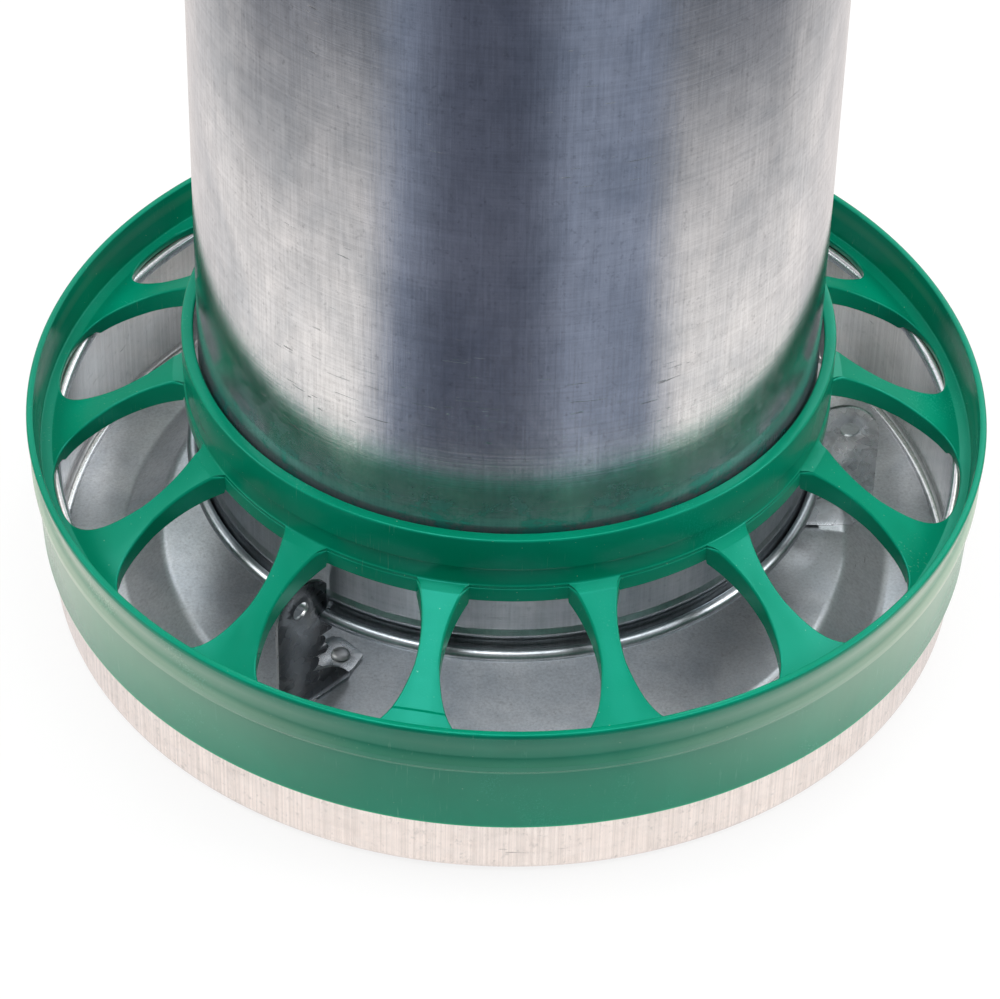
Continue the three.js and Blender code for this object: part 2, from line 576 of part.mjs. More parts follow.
// One moulding in two solids: the collar with its spokes, and the guard ring they end in.
function feedGrille() {
  const inside = HOPPER_RADIUS + COLLAR_CLEARANCE;
  const neck = collarOuter;
  const collarTop = lipTop + COLLAR_RISE;
  const bandFoot = collarTop - COLLAR_BAND;
  const flangeTop = lipTop - LIP_HEIGHT;
  const flangeFoot = flangeTop - FLANGE;
  const skirtFoot = flangeFoot - SKIRT_DROP;
  const skirtInner = panRadius + SKIRT_CLEARANCE;
  const skirtTop = grilleRadius - LIP_TAPER - SKIRT_WALL;
  const beadOuter = skirtTop + SKIRT_WALL + BAND_STEP;
  const spokeTop = lipTop + SPOKE_RISE;
  const spokeStart = neck + SPOKE_START;
  const spokeEnd = windowEnd - 1;
  const slope = (spokeTop - flangeTop) / (spokeEnd - spokeStart);
  const spokeHeight = (radius) => spokeTop - slope * (radius - spokeStart);
  const drop = (depth) => depth * Math.hypot(1, slope);
  const underEnd = panCurlRadius - panCurl - SHEET / 2 - SPOKE_CLEARANCE;
  const outline = [
    [inside, lipTop + COLLAR_FOOT_RISE],
    [neck, lipTop + COLLAR_FOOT_RISE - 1],
    [neck + 1, spokeHeight(neck + 1) - drop(SPOKE_DEPTH)],
    [underEnd, spokeHeight(underEnd) - drop(SPOKE_DEPTH)],
    [underEnd + 1, flangeFoot],
    [skirtTop, flangeFoot],
    [skirtInner, skirtFoot],
    [skirtInner + SKIRT_WALL, skirtFoot],
    [skirtTop + SKIRT_WALL, flangeFoot - 1],
    [beadOuter, flangeFoot],
    [beadOuter, flangeTop],
    [grilleRadius, lipTop - 1],
    [grilleRadius - 0.8, lipTop],
    [grilleRadius - LIP_WALL, lipTop],
    [grilleRadius - LIP_WALL - LIP_TAPER, flangeTop],
    [spokeEnd, flangeTop],
    [spokeStart, spokeTop],
    [neck, bandFoot - 4],
    [neck, bandFoot],
    [neck + COLLAR_BAND_STEP, bandFoot + COLLAR_BAND_STEP],
    [neck + COLLAR_BAND_STEP, collarTop - 1],
    [neck, collarTop],
    [inside + 0.6, collarTop],
    [inside, collarTop - 0.8],
  ];
  let body = solid(turned(outline, GRILLE_FACETS));
  const hollowStart = neck + RIB + 1;
  const hollowEnd = underEnd - RIB;
  const lowest = spokeHeight(underEnd) - drop(SPOKE_DEPTH) - 5;
  let hollow = solid(turned([
    [hollowStart, lowest],
    [hollowEnd, lowest],
    [hollowEnd, spokeHeight(hollowEnd) - drop(SPOKE_SKIN)],
    [hollowStart, spokeHeight(hollowStart) - drop(SPOKE_SKIN)],
  ], GRILLE_FACETS));
  for (const cutter of windowCutters(RIB)) hollow = hollow.subtract(cutter);
  body = body.subtract(hollow);
  for (const cutter of windowCutters(0)) body = body.subtract(cutter);
  const parting = windowEnd - GUARD_OVERLAP;
  const core = (radius) => solid(slab(disc(radius), 0, collarTop + 1, GRILLE_FACETS / 2));
  const spokes = body.intersect(core(parting - FIT_GAP));
  const guard = body.subtract(core(parting));
  return [piece("feed_grille", spokes, greenPlastic), piece("guard_ring", guard, greenPlastic)];
}

// ---- Feeder --------------------------------------------------------------------------

const feeder = new THREE.Group();
feeder.add(pan());
feeder.add(wireRing("pan_rim_wire", panCurlRadius, panCurlHeight, PAN_WIRE_RADIUS));
BRACKET_ANGLES.forEach((angle, i) => {
  feeder.add(bracketStation(angle, BRACKET_SKEWS[i], BRACKET_FOOT_SIDES[i], i + 1));
});
feeder.add(hopperTube());
feeder.add(wireRing("hopper_bottom_wire", rimRadius, RIM_HEIGHT, HOPPER_WIRE_RADIUS));
feeder.add(wireRing("hopper_top_wire", hopperTopCurlRadius, hopperTopCurlHeight, HOPPER_WIRE_RADIUS));
feeder.add(earStation("bail_ear_right", 0));
feeder.add(earStation("bail_ear_left", Math.PI));
feeder.add(bail());
feeder.add(lid());
feeder.add(lidKnob());
feeder.add(lidScrew());
feeder.add(...feedGrille());

export default feeder;
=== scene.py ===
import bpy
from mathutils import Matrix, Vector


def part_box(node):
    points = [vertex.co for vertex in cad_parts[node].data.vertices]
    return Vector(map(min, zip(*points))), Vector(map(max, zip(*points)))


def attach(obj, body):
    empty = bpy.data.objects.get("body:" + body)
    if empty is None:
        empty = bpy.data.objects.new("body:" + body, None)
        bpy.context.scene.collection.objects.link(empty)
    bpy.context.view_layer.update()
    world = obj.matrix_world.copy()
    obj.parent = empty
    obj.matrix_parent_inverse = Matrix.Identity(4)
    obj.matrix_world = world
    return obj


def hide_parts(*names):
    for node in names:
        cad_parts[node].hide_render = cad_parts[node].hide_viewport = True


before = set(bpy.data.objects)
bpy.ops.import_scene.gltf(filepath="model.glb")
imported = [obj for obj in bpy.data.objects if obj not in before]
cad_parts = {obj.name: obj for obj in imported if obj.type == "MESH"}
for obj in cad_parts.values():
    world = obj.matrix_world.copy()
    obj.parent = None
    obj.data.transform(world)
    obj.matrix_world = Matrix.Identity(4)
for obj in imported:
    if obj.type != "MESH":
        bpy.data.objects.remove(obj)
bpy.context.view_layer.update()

# Looks of the gravity poultry feeder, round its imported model. Lengths here are in
# millimetres until make() turns them into metres; +Z is up and the ground is z = 0.
import math

import bmesh
import bpy
from mathutils import Matrix, Vector, geometry

MM = 0.001
ROUND = 224                 # facets round a turned piece
CREASE = 35                 # degrees past which an edge is sharp
SHEET = 0.7                 # galvanised sheet of the pan, hopper and lid
FIT_GAP = 0.3               # between two pieces that touch
CAD_FACETS = 36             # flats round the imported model's sheet pieces


def low(node):
    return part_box(node)[0] / MM


def high(node):
    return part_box(node)[1] / MM


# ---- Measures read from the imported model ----

PAN_RADIUS = high("pan").x
PLATFORM = low("bracket_1").z - FIT_GAP
RIM_WIRE = 1.7              # radius of the wires in the hopper's rims
PAN_WIRE = 1.3              # the same in the pan's rim
RIM_RADIUS = high("hopper_bottom_wire").x - RIM_WIRE
RIM_HEIGHT = (high("hopper_bottom_wire").z + low("hopper_bottom_wire").z) / 2
HOPPER_TOP = high("hopper_tube").z
HOPPER_RADIUS = low("bail_ear_right").x - FIT_GAP
BEAD_RISE = 1.3             # stiffening bead above the bottom rim
TOP_WIRE_HEIGHT = (high("hopper_top_wire").z + low("hopper_top_wire").z) / 2
TOP_WIRE_RADIUS = high("hopper_top_wire").x - RIM_WIRE
GRILLE_RADIUS = high("guard_ring").x
GRILLE_FOOT = low("guard_ring").z
COLLAR_TOP = high("feed_grille").z
LIP_TOP = COLLAR_TOP - 41   # the collar rises this far above the lip
HUB_TOP = LIP_TOP + 15      # where the spokes meet the collar
FIRST_SPOKE = -100          # degrees from +X to the front spoke left of the middle
EAR_TOP = high("bail_ear_right").z
EAR_HALF = 12               # half the width of an ear, and its eye's distance from its top
LID_LEVEL = HOPPER_TOP + 0.65
LID_WALL = high("lid").x - 2.95


# ---- Outlines ----

def arc(x, y, radius, start, end, steps):
    """Points on an arc, from one angle to another, in degrees."""
    angles = [math.radians(start + (end - start) * i / steps) for i in range(steps + 1)]
    return [(x + radius * math.cos(a), y + radius * math.sin(a)) for a in angles]


def bezier(controls, steps):
    """Points on a curve from the first control to the last, without its end."""
    order = len(controls) - 1
    points = []
    for t in (i / steps for i in range(steps)):
        shares = [math.comb(order, k) * t ** k * (1 - t) ** (order - k) for k in range(order + 1)]
        points.append(tuple(sum(s * c[i] for s, c in zip(shares, controls)) for i in (0, 1)))
    return points


def rounded(corners, steps=5):
    """An open path through (x, y, bend radius) corners, with each corner rounded."""
    path = [corners[0][:2]]
    for before, here, after in zip(corners, corners[1:], corners[2:]):
        point, radius = Vector(here[:2]), here[2]
        into = (Vector(before[:2]) - point).normalized()
        out = (Vector(after[:2]) - point).normalized()
        opening = into.angle(out)
        if radius <= 0 or opening > math.pi - 1e-3:
            path.append(tuple(point))
            continue
        reach = radius / math.tan(opening / 2)
        middle = point + (into + out).normalized() * (radius / math.sin(opening / 2))
        start = point + into * reach - middle
        end = point + out * reach - middle
        sweep = math.atan2(start.cross(end), start.dot(end))
        for i in range(steps + 1):
            turn = sweep * i / steps
            cosine, sine = math.cos(turn), math.sin(turn)
            path.append((middle.x + start.x * cosine - start.y * sine,
                         middle.y + start.x * sine + start.y * cosine))
    return path + [corners[-1][:2]]


def sheet(path, thickness=SHEET):
    """Closed outline of a bent sheet, from the path of its middle."""
    points = [Vector(p) for p in path]
    sides = []
    for sign in (1, -1):
        side = []
        for i, point in enumerate(points):
            before = points[max(i - 1, 0)]
            after = points[min(i + 1, len(points) - 1)]
            into = (point - before).normalized() if i else (after - point).normalized()
            out = (after - point).normalized() if i < len(points) - 1 else into
            normal = Vector((into.y + out.y, -into.x - out.x)).normalized()
            spread = math.sqrt((1 + into.dot(out)) / 2)
            side.append(tuple(point + normal * (sign * thickness / 2 / spread)))
        sides.append(side)
    return sides[0] + sides[1][::-1]


# ---- Meshes ----

def solid(name, vertices, faces, materials=()):
    """An object from vertices in millimetres, its faces pointing out, shaded smooth."""
    mesh = bpy.data.meshes.new(name)
    mesh.from_pydata([Vector(v) * MM for v in vertices], [], faces)
    for material in materials:
        mesh.materials.append(material)
    made = bpy.data.objects.new(name, mesh)
    bpy.context.scene.collection.objects.link(made)
    work = bmesh.new()
    work.from_mesh(mesh)
    bmesh.ops.remove_doubles(work, verts=work.verts, dist=1e-7)
    bmesh.ops.recalc_face_normals(work, faces=work.faces)
    work.to_mesh(mesh)
    work.free()
    shade(made)
    return made


def make(name, vertices, faces, materials, body, nodes):
    """A piece that rides on a body and stands for the CAD nodes."""
    made = solid(name, vertices, faces, materials)
    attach(made, body)
    if nodes:
        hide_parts(*nodes)
    return made


def shade(made, crease=CREASE):
    """Smooth shading, with sharp edges past the crease angle."""
    made.data.shade_smooth()
    made.data.set_sharp_from_angle(angle=math.radians(crease))


def apply(made):
    """Turns an object's modifiers into its mesh."""
    graph = bpy.context.evaluated_depsgraph_get()
    mesh = bpy.data.meshes.new_from_object(made.evaluated_get(graph))
    made.modifiers.clear()
    made.data = mesh


def cut(made, vertices, faces):
    """Cuts a closed mesh away from a piece."""
    tool = solid("tool", vertices, faces)
    modifier = made.modifiers.new("cut", "BOOLEAN")
    modifier.operation = "DIFFERENCE"
    modifier.solver = "MANIFOLD"
    modifier.object = tool
    apply(made)
    bpy.data.objects.remove(tool)
    shade(made)


def turned(outline, facets=ROUND):
    """Vertices and faces of a closed outline of (radius, height), turned about +Z."""
    pairs = zip(outline[-1:] + outline, outline)
    outline = [b for a, b in pairs if (Vector(b) - Vector(a)).length > 1e-4]
    vertices, rings = [], []
    for radius, height in outline:
        if radius < 1e-6:
            rings.append([len(vertices)] * facets)
            vertices.append((0, 0, height))
            continue
        rings.append(range(len(vertices), len(vertices) + facets))
        for i in range(facets):
            angle = 2 * math.pi * i / facets
            vertices.append((radius * math.cos(angle), radius * math.sin(angle), height))
    faces = []
    for lower, upper in zip(rings, rings[1:] + rings[:1]):
        for i in range(facets):
            j = (i + 1) % facets
            face = list(dict.fromkeys((lower[i], lower[j], upper[j], upper[i])))
            if len(face) > 2:
                faces.append(face)
    return vertices, faces


def stacked(count, levels):
    """Faces of a closed skin over rings of count vertices, one above the other."""
    faces = [list(range(count))[::-1], [(levels - 1) * count + k for k in range(count)]]
    for i in range(levels - 1):
        for k in range(count):
            a, b = i * count + k, i * count + (k + 1) % count
            faces.append([a, b, b + count, a + count])
    return faces


def placed(vertices, matrix):
    return [matrix @ Vector(v) for v in vertices]


def flat_sheet(outline, holes, bends, to_space, thickness):
    """Vertices and faces of a sheet cut to an outline and bent: to_space takes a point of
    the flat sheet and a height off its middle, and bends are lines to split it along."""
    loops = [outline] + holes
    points, edges = [], []
    for loop in loops:
        start = len(points)
        points += [Vector(p) for p in loop]
        edges += [(start + i, start + (i + 1) % len(loop)) for i in range(len(loop))]
    for a, b in bends:
        edges.append((len(points), len(points) + 1))
        points += [Vector(a), Vector(b)]
    flat, _, faces, _, _, _ = geometry.delaunay_2d_cdt(points, edges, [], 0, 1e-5)

    def inside(point, loop):
        crossings = 0
        for (ax, ay), (bx, by) in zip(loop, loop[1:] + loop[:1]):
            if (ay > point.y) != (by > point.y):
                crossings += point.x < ax + (bx - ax) * (point.y - ay) / (by - ay)
        return crossings % 2 == 1

    kept = []
    for face in faces:
        middle = sum((flat[i] for i in face), Vector((0, 0))) / len(face)
        if inside(middle, outline) and not any(inside(middle, h) for h in holes):
            kept.append(face)
    used = sorted({i for face in kept for i in face})
    index = {v: i for i, v in enumerate(used)}
    count = len(used)
    vertices = [to_space(flat[v], thickness / 2) for v in used]
    vertices += [to_space(flat[v], -thickness / 2) for v in used]
    top = [[index[v] for v in face] for face in kept]
    border = dict.fromkeys(pair for face in top for pair in zip(face, face[1:] + face[:1]))
    rim = [(a, b) for a, b in border if (b, a) not in border]
    made = top + [[v + count for v in face[::-1]] for face in top]
    made += [[b, a, a + count, b + count] for a, b in rim]
    return vertices, made, len(top) * 2


def wire(path, radius, sides=20, closed=False):
    """Vertices and faces of a round wire along a path in space, with domed ends."""
    points = [Vector(p) for p in path]
    count = len(points)
    tangents = []
    for i in range(count):
        before = points[i - 1] if closed or i else points[0]
        after = points[(i + 1) % count] if closed or i < count - 1 else points[-1]
        tangents.append((after - before).normalized())
    normal = tangents[0].orthogonal().normalized()
    vertices, rings = [], []

    def ring(centre, tangent, size):
        side = normal.cross(tangent).normalized()
        rings.append(range(len(vertices), len(vertices) + sides))
        for k in range(sides):
            angle = 2 * math.pi * k / sides
            vertices.append(centre + (normal * math.cos(angle) + side * math.sin(angle)) * size)

    def dome(end, way, angles):
        for angle in angles:
            a = math.radians(angle)
            inset = radius * (0.5 - 0.5 * math.sin(a))
            ring(points[end] + tangents[end] * way * inset, tangents[end], radius * math.cos(a))

    if not closed:
        dome(0, 1, (80, 60, 40, 20))
    for i in range(0 if closed else 1, count if closed else count - 1):
        normal = (normal - tangents[i] * normal.dot(tangents[i])).normalized()
        ring(points[i], tangents[i], radius)
    if not closed:
        dome(-1, -1, (20, 40, 60, 80))
    faces = []
    pairs = list(zip(rings, rings[1:])) + ([(rings[-1], rings[0])] if closed else [])
    for lower, upper in pairs:
        for k in range(sides):
            after = (k + 1) % sides
            faces.append([lower[k], lower[after], upper[after], upper[k]])
    if not closed:
        faces += [list(rings[0])[::-1], list(rings[-1])]
    return vertices, faces


# ---- Materials ----

class Nodes:
    """A node tree with short calls for the nodes that the materials share."""

    def __init__(self, name):
        self.material = bpy.data.materials.new(name)
        self.material.use_nodes = True
        self.tree = self.material.node_tree
        self.shader = self.tree.nodes["Principled BSDF"]
        self.place = self.add("ShaderNodeTexCoord").outputs["Object"]

    def add(self, kind, inputs=None, **settings):
        node = self.tree.nodes.new(kind)
        for key, value in settings.items():
            setattr(node, key, value)
        for key, value in (inputs or {}).items():
            self.put(node.inputs[key], value)
        return node

    def put(self, socket, value):
        if isinstance(value, bpy.types.NodeSocket):
            self.tree.links.new(value, socket)
        else:
            socket.default_value = value

    def scaled(self, across, along):
        """Object coordinates in metres, times a number across and along +Z."""
        inputs = {0: self.place, 1: (across, across, along)}
        return self.add("ShaderNodeVectorMath", inputs, operation="MULTIPLY").outputs[0]

    def noise(self, across, along=None, detail=4, rough=0.55, warp=0):
        vector = self.scaled(across, along or across)
        inputs = {"Vector": vector, "Scale": 1, "Detail": detail, "Roughness": rough,
                  "Distortion": warp}
        return self.add("ShaderNodeTexNoise", inputs).outputs["Fac"]

    def spangle(self, across, along):
        """A random level for each crystal of the zinc."""
        inputs = {"Vector": self.scaled(across, along), "Scale": 1}
        cells = self.add("ShaderNodeTexVoronoi", inputs).outputs["Color"]
        return self.add("ShaderNodeSeparateColor", {0: cells}).outputs[0]

    def math(self, operation, *values):
        return self.add("ShaderNodeMath", dict(enumerate(values)), operation=operation).outputs[0]

    def times(self, first, second):
        return self.math("MULTIPLY", first, second)

    def blend(self, first, second, share):
        """The share of the second and the rest of the first, added."""
        return self.math("ADD", self.times(first, 1 - share), self.times(second, share))

    def remap(self, value, start, end, to_start=0.0, to_end=1.0):
        inputs = {0: value, 1: start, 2: end, 3: to_start, 4: to_end}
        return self.add("ShaderNodeMapRange", inputs).outputs[0]

    def mix(self, share, first, second, blend="MIX"):
        node = self.add("ShaderNodeMix", {"Factor": share}, data_type="RGBA", blend_type=blend)
        self.put(node.inputs[6], first)
        self.put(node.inputs[7], second)
        return node.outputs[2]

    def axis(self, name):
        return self.add("ShaderNodeSeparateXYZ", {0: self.place}).outputs[name]

    def dot(self, way):
        """How far a point lies in a direction."""
        node = self.add("ShaderNodeVectorMath", {0: self.place, 1: way}, operation="DOT_PRODUCT")
        return node.outputs["Value"]

    def height(self):
        return self.axis("Z")

    def level(self, start, end, to_start=0.0, to_end=1.0):
        """A ramp between two heights in millimetres."""
        return self.remap(self.height(), start * MM, end * MM, to_start, to_end)

    def radius(self):
        flat = self.scaled(1, 0)
        return self.add("ShaderNodeVectorMath", {0: flat}, operation="LENGTH").outputs[1]

    def bump(self, height, distance, normal=None):
        inputs = {"Height": height, "Distance": distance}
        if normal is not None:
            inputs["Normal"] = normal
        return self.add("ShaderNodeBump", inputs).outputs[0]

    def finish(self, colour, roughness, normal, **fixed):
        self.put(self.shader.inputs["Base Color"], colour)
        self.put(self.shader.inputs["Roughness"], roughness)
        self.put(self.shader.inputs["Normal"], normal)
        for name, value in fixed.items():
            self.shader.inputs[name.replace("_", " ")].default_value = value
        return self.material


def grey(value, tint=0.0):
    """A grey, cooler for a positive tint and warmer for a negative one."""
    return (value * (1 - tint), value, value * (1 + tint), 1)


EDGE_TINT = (0.80, 0.80, 0.82, 1)
# Colour of the painted shade on the tube at and inside the collar.
COLLAR_SHADE_COLOUR = (0.04, 0.10, 0.14, 1)
GREEN_DARK = (0.000, 0.205, 0.112, 1)
GREEN_LIGHT = (0.000, 0.255, 0.145, 1)
# Green film on the tube above the collar: rub smears and a painted reflection of the green collar.
GREEN_RUB_AND_REFLECTION = (0.00, 0.30, 0.25, 1)
# Pale haze on the skirt. On its left and right flanks it is mostly a painted reflection.
HAZE_AND_REFLECTION = (0.66, 0.72, 0.60, 1)
# Painted highlight along the skirt's lower edge.
HEM_HIGHLIGHT_GREEN = (0.02, 0.50, 0.24, 1)


def rolled_sheet(name, light, dark, rough, streak, lines, across=0.4, outer=None, worn=None,
                 coat=None, **fixed):
    """Galvanised sheet: fine rolling lines up and round it, cloudy zinc, faint spangle and the odd
    scratch. Lines says how strongly they show, streak how fast they change on the way up, and
    across what share of them runs round. Outer gives a colour painted on the outer wall beyond a
    radius, a painted reflection paler and warmer than the inside; worn roughens one side of a ramp,
    and coat changes the base colour."""
    m = Nodes(name)
    cloud = m.noise(22, 15, 6, 0.62, 0.5)
    mottle = m.noise(95, 120, 4, 0.65, 0.3)
    upward = m.noise(760, streak, 3, 0.7)
    around = m.noise(14, 900, 3, 0.7, 0.1)
    weave = m.blend(upward, around, across)
    specks = m.remap(m.noise(430, 360, 3, 0.7), 0.58, 0.70, 0, lines * 0.6)
    rare = m.remap(m.noise(21, 21, 1), 0.55, 0.62)
    scratch = m.times(m.remap(m.noise(75, 900, 1, 0.4, 0.8), 0.735, 0.76), rare)
    colour = m.mix(m.remap(cloud, 0.35, 0.68), dark, light)
    # Painted reflection: beyond a radius the outer wall takes a paler, warmer colour than the
    # inside.
    if outer:
        start, end, outer_reflection_colour = outer
        colour = m.mix(m.remap(m.radius(), start * MM, end * MM), colour, outer_reflection_colour)
    colour = m.mix(m.remap(mottle, 0.45, 0.7, 0, 0.35), colour, grey(0.70), "MULTIPLY")
    colour = m.mix(m.remap(weave, 0.40, 0.62, 0, lines), colour, grey(0.66), "MULTIPLY")
    colour = m.mix(m.remap(m.spangle(210, 170), 0, 1, 0, 0.12), colour, light)
    colour = m.mix(specks, colour, grey(0.30, 0.05))
    colour = m.mix(m.times(scratch, 0.6), colour, grey(0.12))
    if coat:
        colour = coat(m, colour)
    rough = m.remap(m.blend(cloud, weave, 0.4), 0.3, 0.7, *rough)
    if worn:
        place, start, end, extra = worn
        rough = m.math("ADD", rough, m.remap(place(m), start * MM, end * MM, extra, 0))
    wave = m.bump(m.noise(9, 5, 2, 0.4), 0.0015)
    marks = m.bump(weave, 0.00005, wave)
    bumps = m.bump(scratch, -0.00005, marks)
    return m.finish(colour, rough, bumps, Specular_Tint=EDGE_TINT, **fixed)


def collar_shade_and_rub(m, colour):
    """Painted shade on the tube inside the collar and just above it. Above the collar is a mottled
    green film, partly green rubbed off the collar and partly a painted reflection of it.
    """
    height = COLLAR_TOP - 4
    above = m.level(height - 9, height - 3)
    share = m.math("ADD", m.times(above, 0.4), 0.6)
    # Painted shade: darkest at the collar's top, fading out 34 mm above it, and weaker down inside
    # the collar.
    painted_shade = m.times(m.level(height, height + 34, 0.75, 0), share)
    # Green film above the collar: mottled rub smears that also serve as a painted reflection of the
    # collar.
    smear = m.remap(m.noise(58, 85, 6, 0.75, 0.3), 0.49, 0.58)
    near = m.times(m.level(height, height + 46, 1, 0), above)
    film = m.times(near, m.math("ADD", m.times(smear, 0.85), 0.15))
    covered = m.math("MAXIMUM", m.times(painted_shade, above), film)
    m.put(m.shader.inputs["Metallic"], m.math("SUBTRACT", 1, m.times(covered, 0.6)))
    return m.mix(m.times(film, 0.85), m.mix(painted_shade, colour, COLLAR_SHADE_COLOUR), GREEN_RUB_AND_REFLECTION)


def plate_steel(name, dull, bright, foot=None):
    """Heavier hot-dipped plate: large spangle, stains and a duller face. A foot colour is for
    the part that lies on the pan."""
    m = Nodes(name)
    spangle = m.spangle(260, 260)
    stain = m.noise(60, 60, 5, 0.65, 0.8)
    fine = m.noise(700, 700, 3, 0.6)
    colour = m.mix(m.remap(spangle, 0, 1, 0.0, 0.5), dull, bright)
    if foot:
        colour = m.mix(m.level(PLATFORM + 2.5, PLATFORM + 5), foot, colour)
    colour = m.mix(m.remap(stain, 0.5, 0.72, 0, 0.5), colour, grey(0.20, -0.03))
    spread = m.math("ADD", m.times(stain, 0.5), m.times(spangle, 0.3))
    rough = m.remap(spread, 0.2, 0.7, 0.22, 0.36)
    bumps = m.bump(fine, 0.00004, m.bump(stain, 0.00006))
    return m.finish(colour, rough, bumps, Metallic=1, Specular_Tint=EDGE_TINT)


def cut_edge():
    """Sheared edge of the plate: bright, with fine tear lines across it."""
    m = Nodes("cut_edge_look")
    lines = m.noise(1500, 300, 2, 0.6)
    colour = m.mix(lines, grey(0.42, 0.04), grey(0.78, 0.02))
    return m.finish(colour, m.remap(lines, 0.3, 0.7, 0.25, 0.4), m.bump(lines, 0.00005), Metallic=1)


def drawn_wire(name, value):
    """Zinc-coated drawn wire or rivet: soft cloudy zinc with fine pitting."""
    m = Nodes(name)
    cloud = m.noise(120, 120, 4, 0.6)
    fine = m.noise(900, 900, 3, 0.6)
    colour = m.mix(m.remap(cloud, 0.3, 0.7), grey(value * 0.72, 0.03), grey(value, 0.02))
    rough = m.remap(fine, 0.3, 0.7, 0.42, 0.56)
    return m.finish(colour, rough, m.bump(fine, 0.00004), Metallic=1)


def moulded_green():
    """Moulded polypropylene: even green, faint flow clouding, grain, hairline scratches and dust, a
    pale haze on the skirt that a painted reflection makes paler on its left and right flanks, a
    painted highlight along the skirt's lower edge and a shallow pad at the foot of one spoke."""
    m = Nodes("green_plastic_look")
    cloud = m.noise(20, 20, 3, 0.5, 0.5)
    grain = m.noise(1400, 1400, 2, 0.5)
    patch = m.remap(m.noise(45, 45, 3, 0.6), 0.5, 0.7)
    scuff = m.times(m.remap(m.noise(1100, 60, 2, 0.5), 0.64, 0.72), patch)
    dust = m.remap(m.noise(1000, 1000, 1, 0.3), 0.80, 0.84)
    colour = m.mix(m.remap(cloud, 0.3, 0.7), GREEN_DARK, GREEN_LIGHT)
    colour = m.mix(m.times(scuff, 0.25), colour, (0.25, 0.55, 0.42, 1))
    colour = m.mix(m.times(dust, 0.5), colour, (0.55, 0.75, 0.55, 1))
    # Painted highlight: a brighter green band along the skirt's lower edge, kept free of the haze.
    hem = m.level(GRILLE_FOOT + 0.5, GRILLE_FOOT + 1.3, 1, 0)
    colour = m.mix(m.times(hem, 0.8), colour, HEM_HIGHLIGHT_GREEN)
    skirt = m.remap(m.radius(), (GRILLE_RADIUS - 4) * MM, (GRILLE_RADIUS - 1.5) * MM)
    skirt = m.times(skirt, m.level(LIP_TOP - 9, LIP_TOP - 3, 1, 0))
    skirt = m.times(skirt, m.math("SUBTRACT", 1, hem))
    # Painted reflection: the skirt's haze grows from 0.11 at front and back to 0.72 on the left and
    # right flanks, by the X coordinate.
    flank = m.remap(m.math("ABSOLUTE", m.axis("X")), 50 * MM, 175 * MM, 0.11, 0.72)
    colour = m.mix(m.times(skirt, flank), colour, HAZE_AND_REFLECTION)
    pad = spoke_pad(m)
    colour = m.mix(m.times(pad, 0.25), colour, GREEN_DARK)
    rough = m.remap(m.blend(cloud, grain, 0.3), 0.35, 0.65, 0.20, 0.28)
    bumps = m.bump(grain, 0.000025, m.bump(cloud, 0.0006, m.bump(pad, 0.0008)))
    return m.finish(colour, rough, bumps, IOR=1.5,
                    Specular_Tint=(0.12, 1.0, 0.86, 1))


def spoke_pad(m):
    """One inside the pad at the outer end of the first spoke, and nought elsewhere."""
    turn = math.radians(FIRST_SPOKE)
    along = m.dot((math.cos(turn), math.sin(turn), 0))
    aside = m.math("ABSOLUTE", m.dot((-math.sin(turn), math.cos(turn), 0)))
    pad = m.times(m.remap(along, 0.1792, 0.1800), m.remap(aside, 0.0150, 0.0158, 1, 0))
    return m.times(pad, m.remap(m.radius(), 0.1905, 0.1915, 1, 0))


def moulded_black():
    """Black phenolic knob: near-black, a little worn, with a fine grain."""
    m = Nodes("black_plastic_look")
    wear = m.noise(150, 150, 4, 0.6)
    grain = m.noise(1600, 1600, 2, 0.5)
    colour = m.mix(m.remap(wear, 0.45, 0.75), (0.010, 0.010, 0.011, 1), (0.03, 0.03, 0.032, 1))
    rough = m.remap(wear, 0.3, 0.7, 0.28, 0.42)
    return m.finish(colour, rough, m.bump(grain, 0.00003), IOR=1.5)


# The tube's coat paints shade at the collar, and above it a green film that is partly a painted
# reflection of the collar.
tube_steel = rolled_sheet(
    "tube_sheet_look", grey(0.99, 0.015), grey(0.66, 0.06), (0.11, 0.19), streak=30, lines=0.6,
    worn=(Nodes.height, 95, 120, 0.16), coat=collar_shade_and_rub)
# The pan's outer wall colour is a painted reflection of the white table.
pan_steel = rolled_sheet(
    "pan_sheet_look", grey(0.90, 0.03), grey(0.64, 0.08), (0.14, 0.22), streak=6, lines=0.5,
    across=0.06, outer=(188, 190, (0.98, 0.92, 0.89, 1)),
    worn=(Nodes.radius, 186, 189, 0.15), Metallic=0.84)
lid_steel = rolled_sheet(
    "lid_sheet_look", grey(0.80, 0.03), grey(0.56, 0.04), (0.20, 0.32), streak=90, lines=0.4,
    Metallic=1)
# Bracket 1's plate: the galvanised plate darkened as painted shade, with its foot on the pan left
# at a plain light grey.
shaded_plate = plate_steel("shaded_plate_look", grey(0.11, 0.08), grey(0.19, 0.08), grey(0.80, 0.03))
plate = plate_steel("galvanised_plate_look", grey(0.76, 0.03), grey(0.95, 0.02))
edge = cut_edge()
wire_zinc = drawn_wire("zinc_wire_look", 0.56)
rivet_zinc = drawn_wire("rivet_steel_look", 0.78)
green = moulded_green()
black = moulded_black()


# ---- Pan ----

def hem_wire(name, node, body, size, radius, height, count):
    """The round wire that a sheet's rim is curled over."""
    angles = [2 * math.pi * i / count for i in range(count)]
    loop = [(radius * math.cos(a), radius * math.sin(a), height) for a in angles]
    vertices, faces = wire(loop, size, 12, closed=True)
    make(name, vertices, faces, [wire_zinc], body, [node])


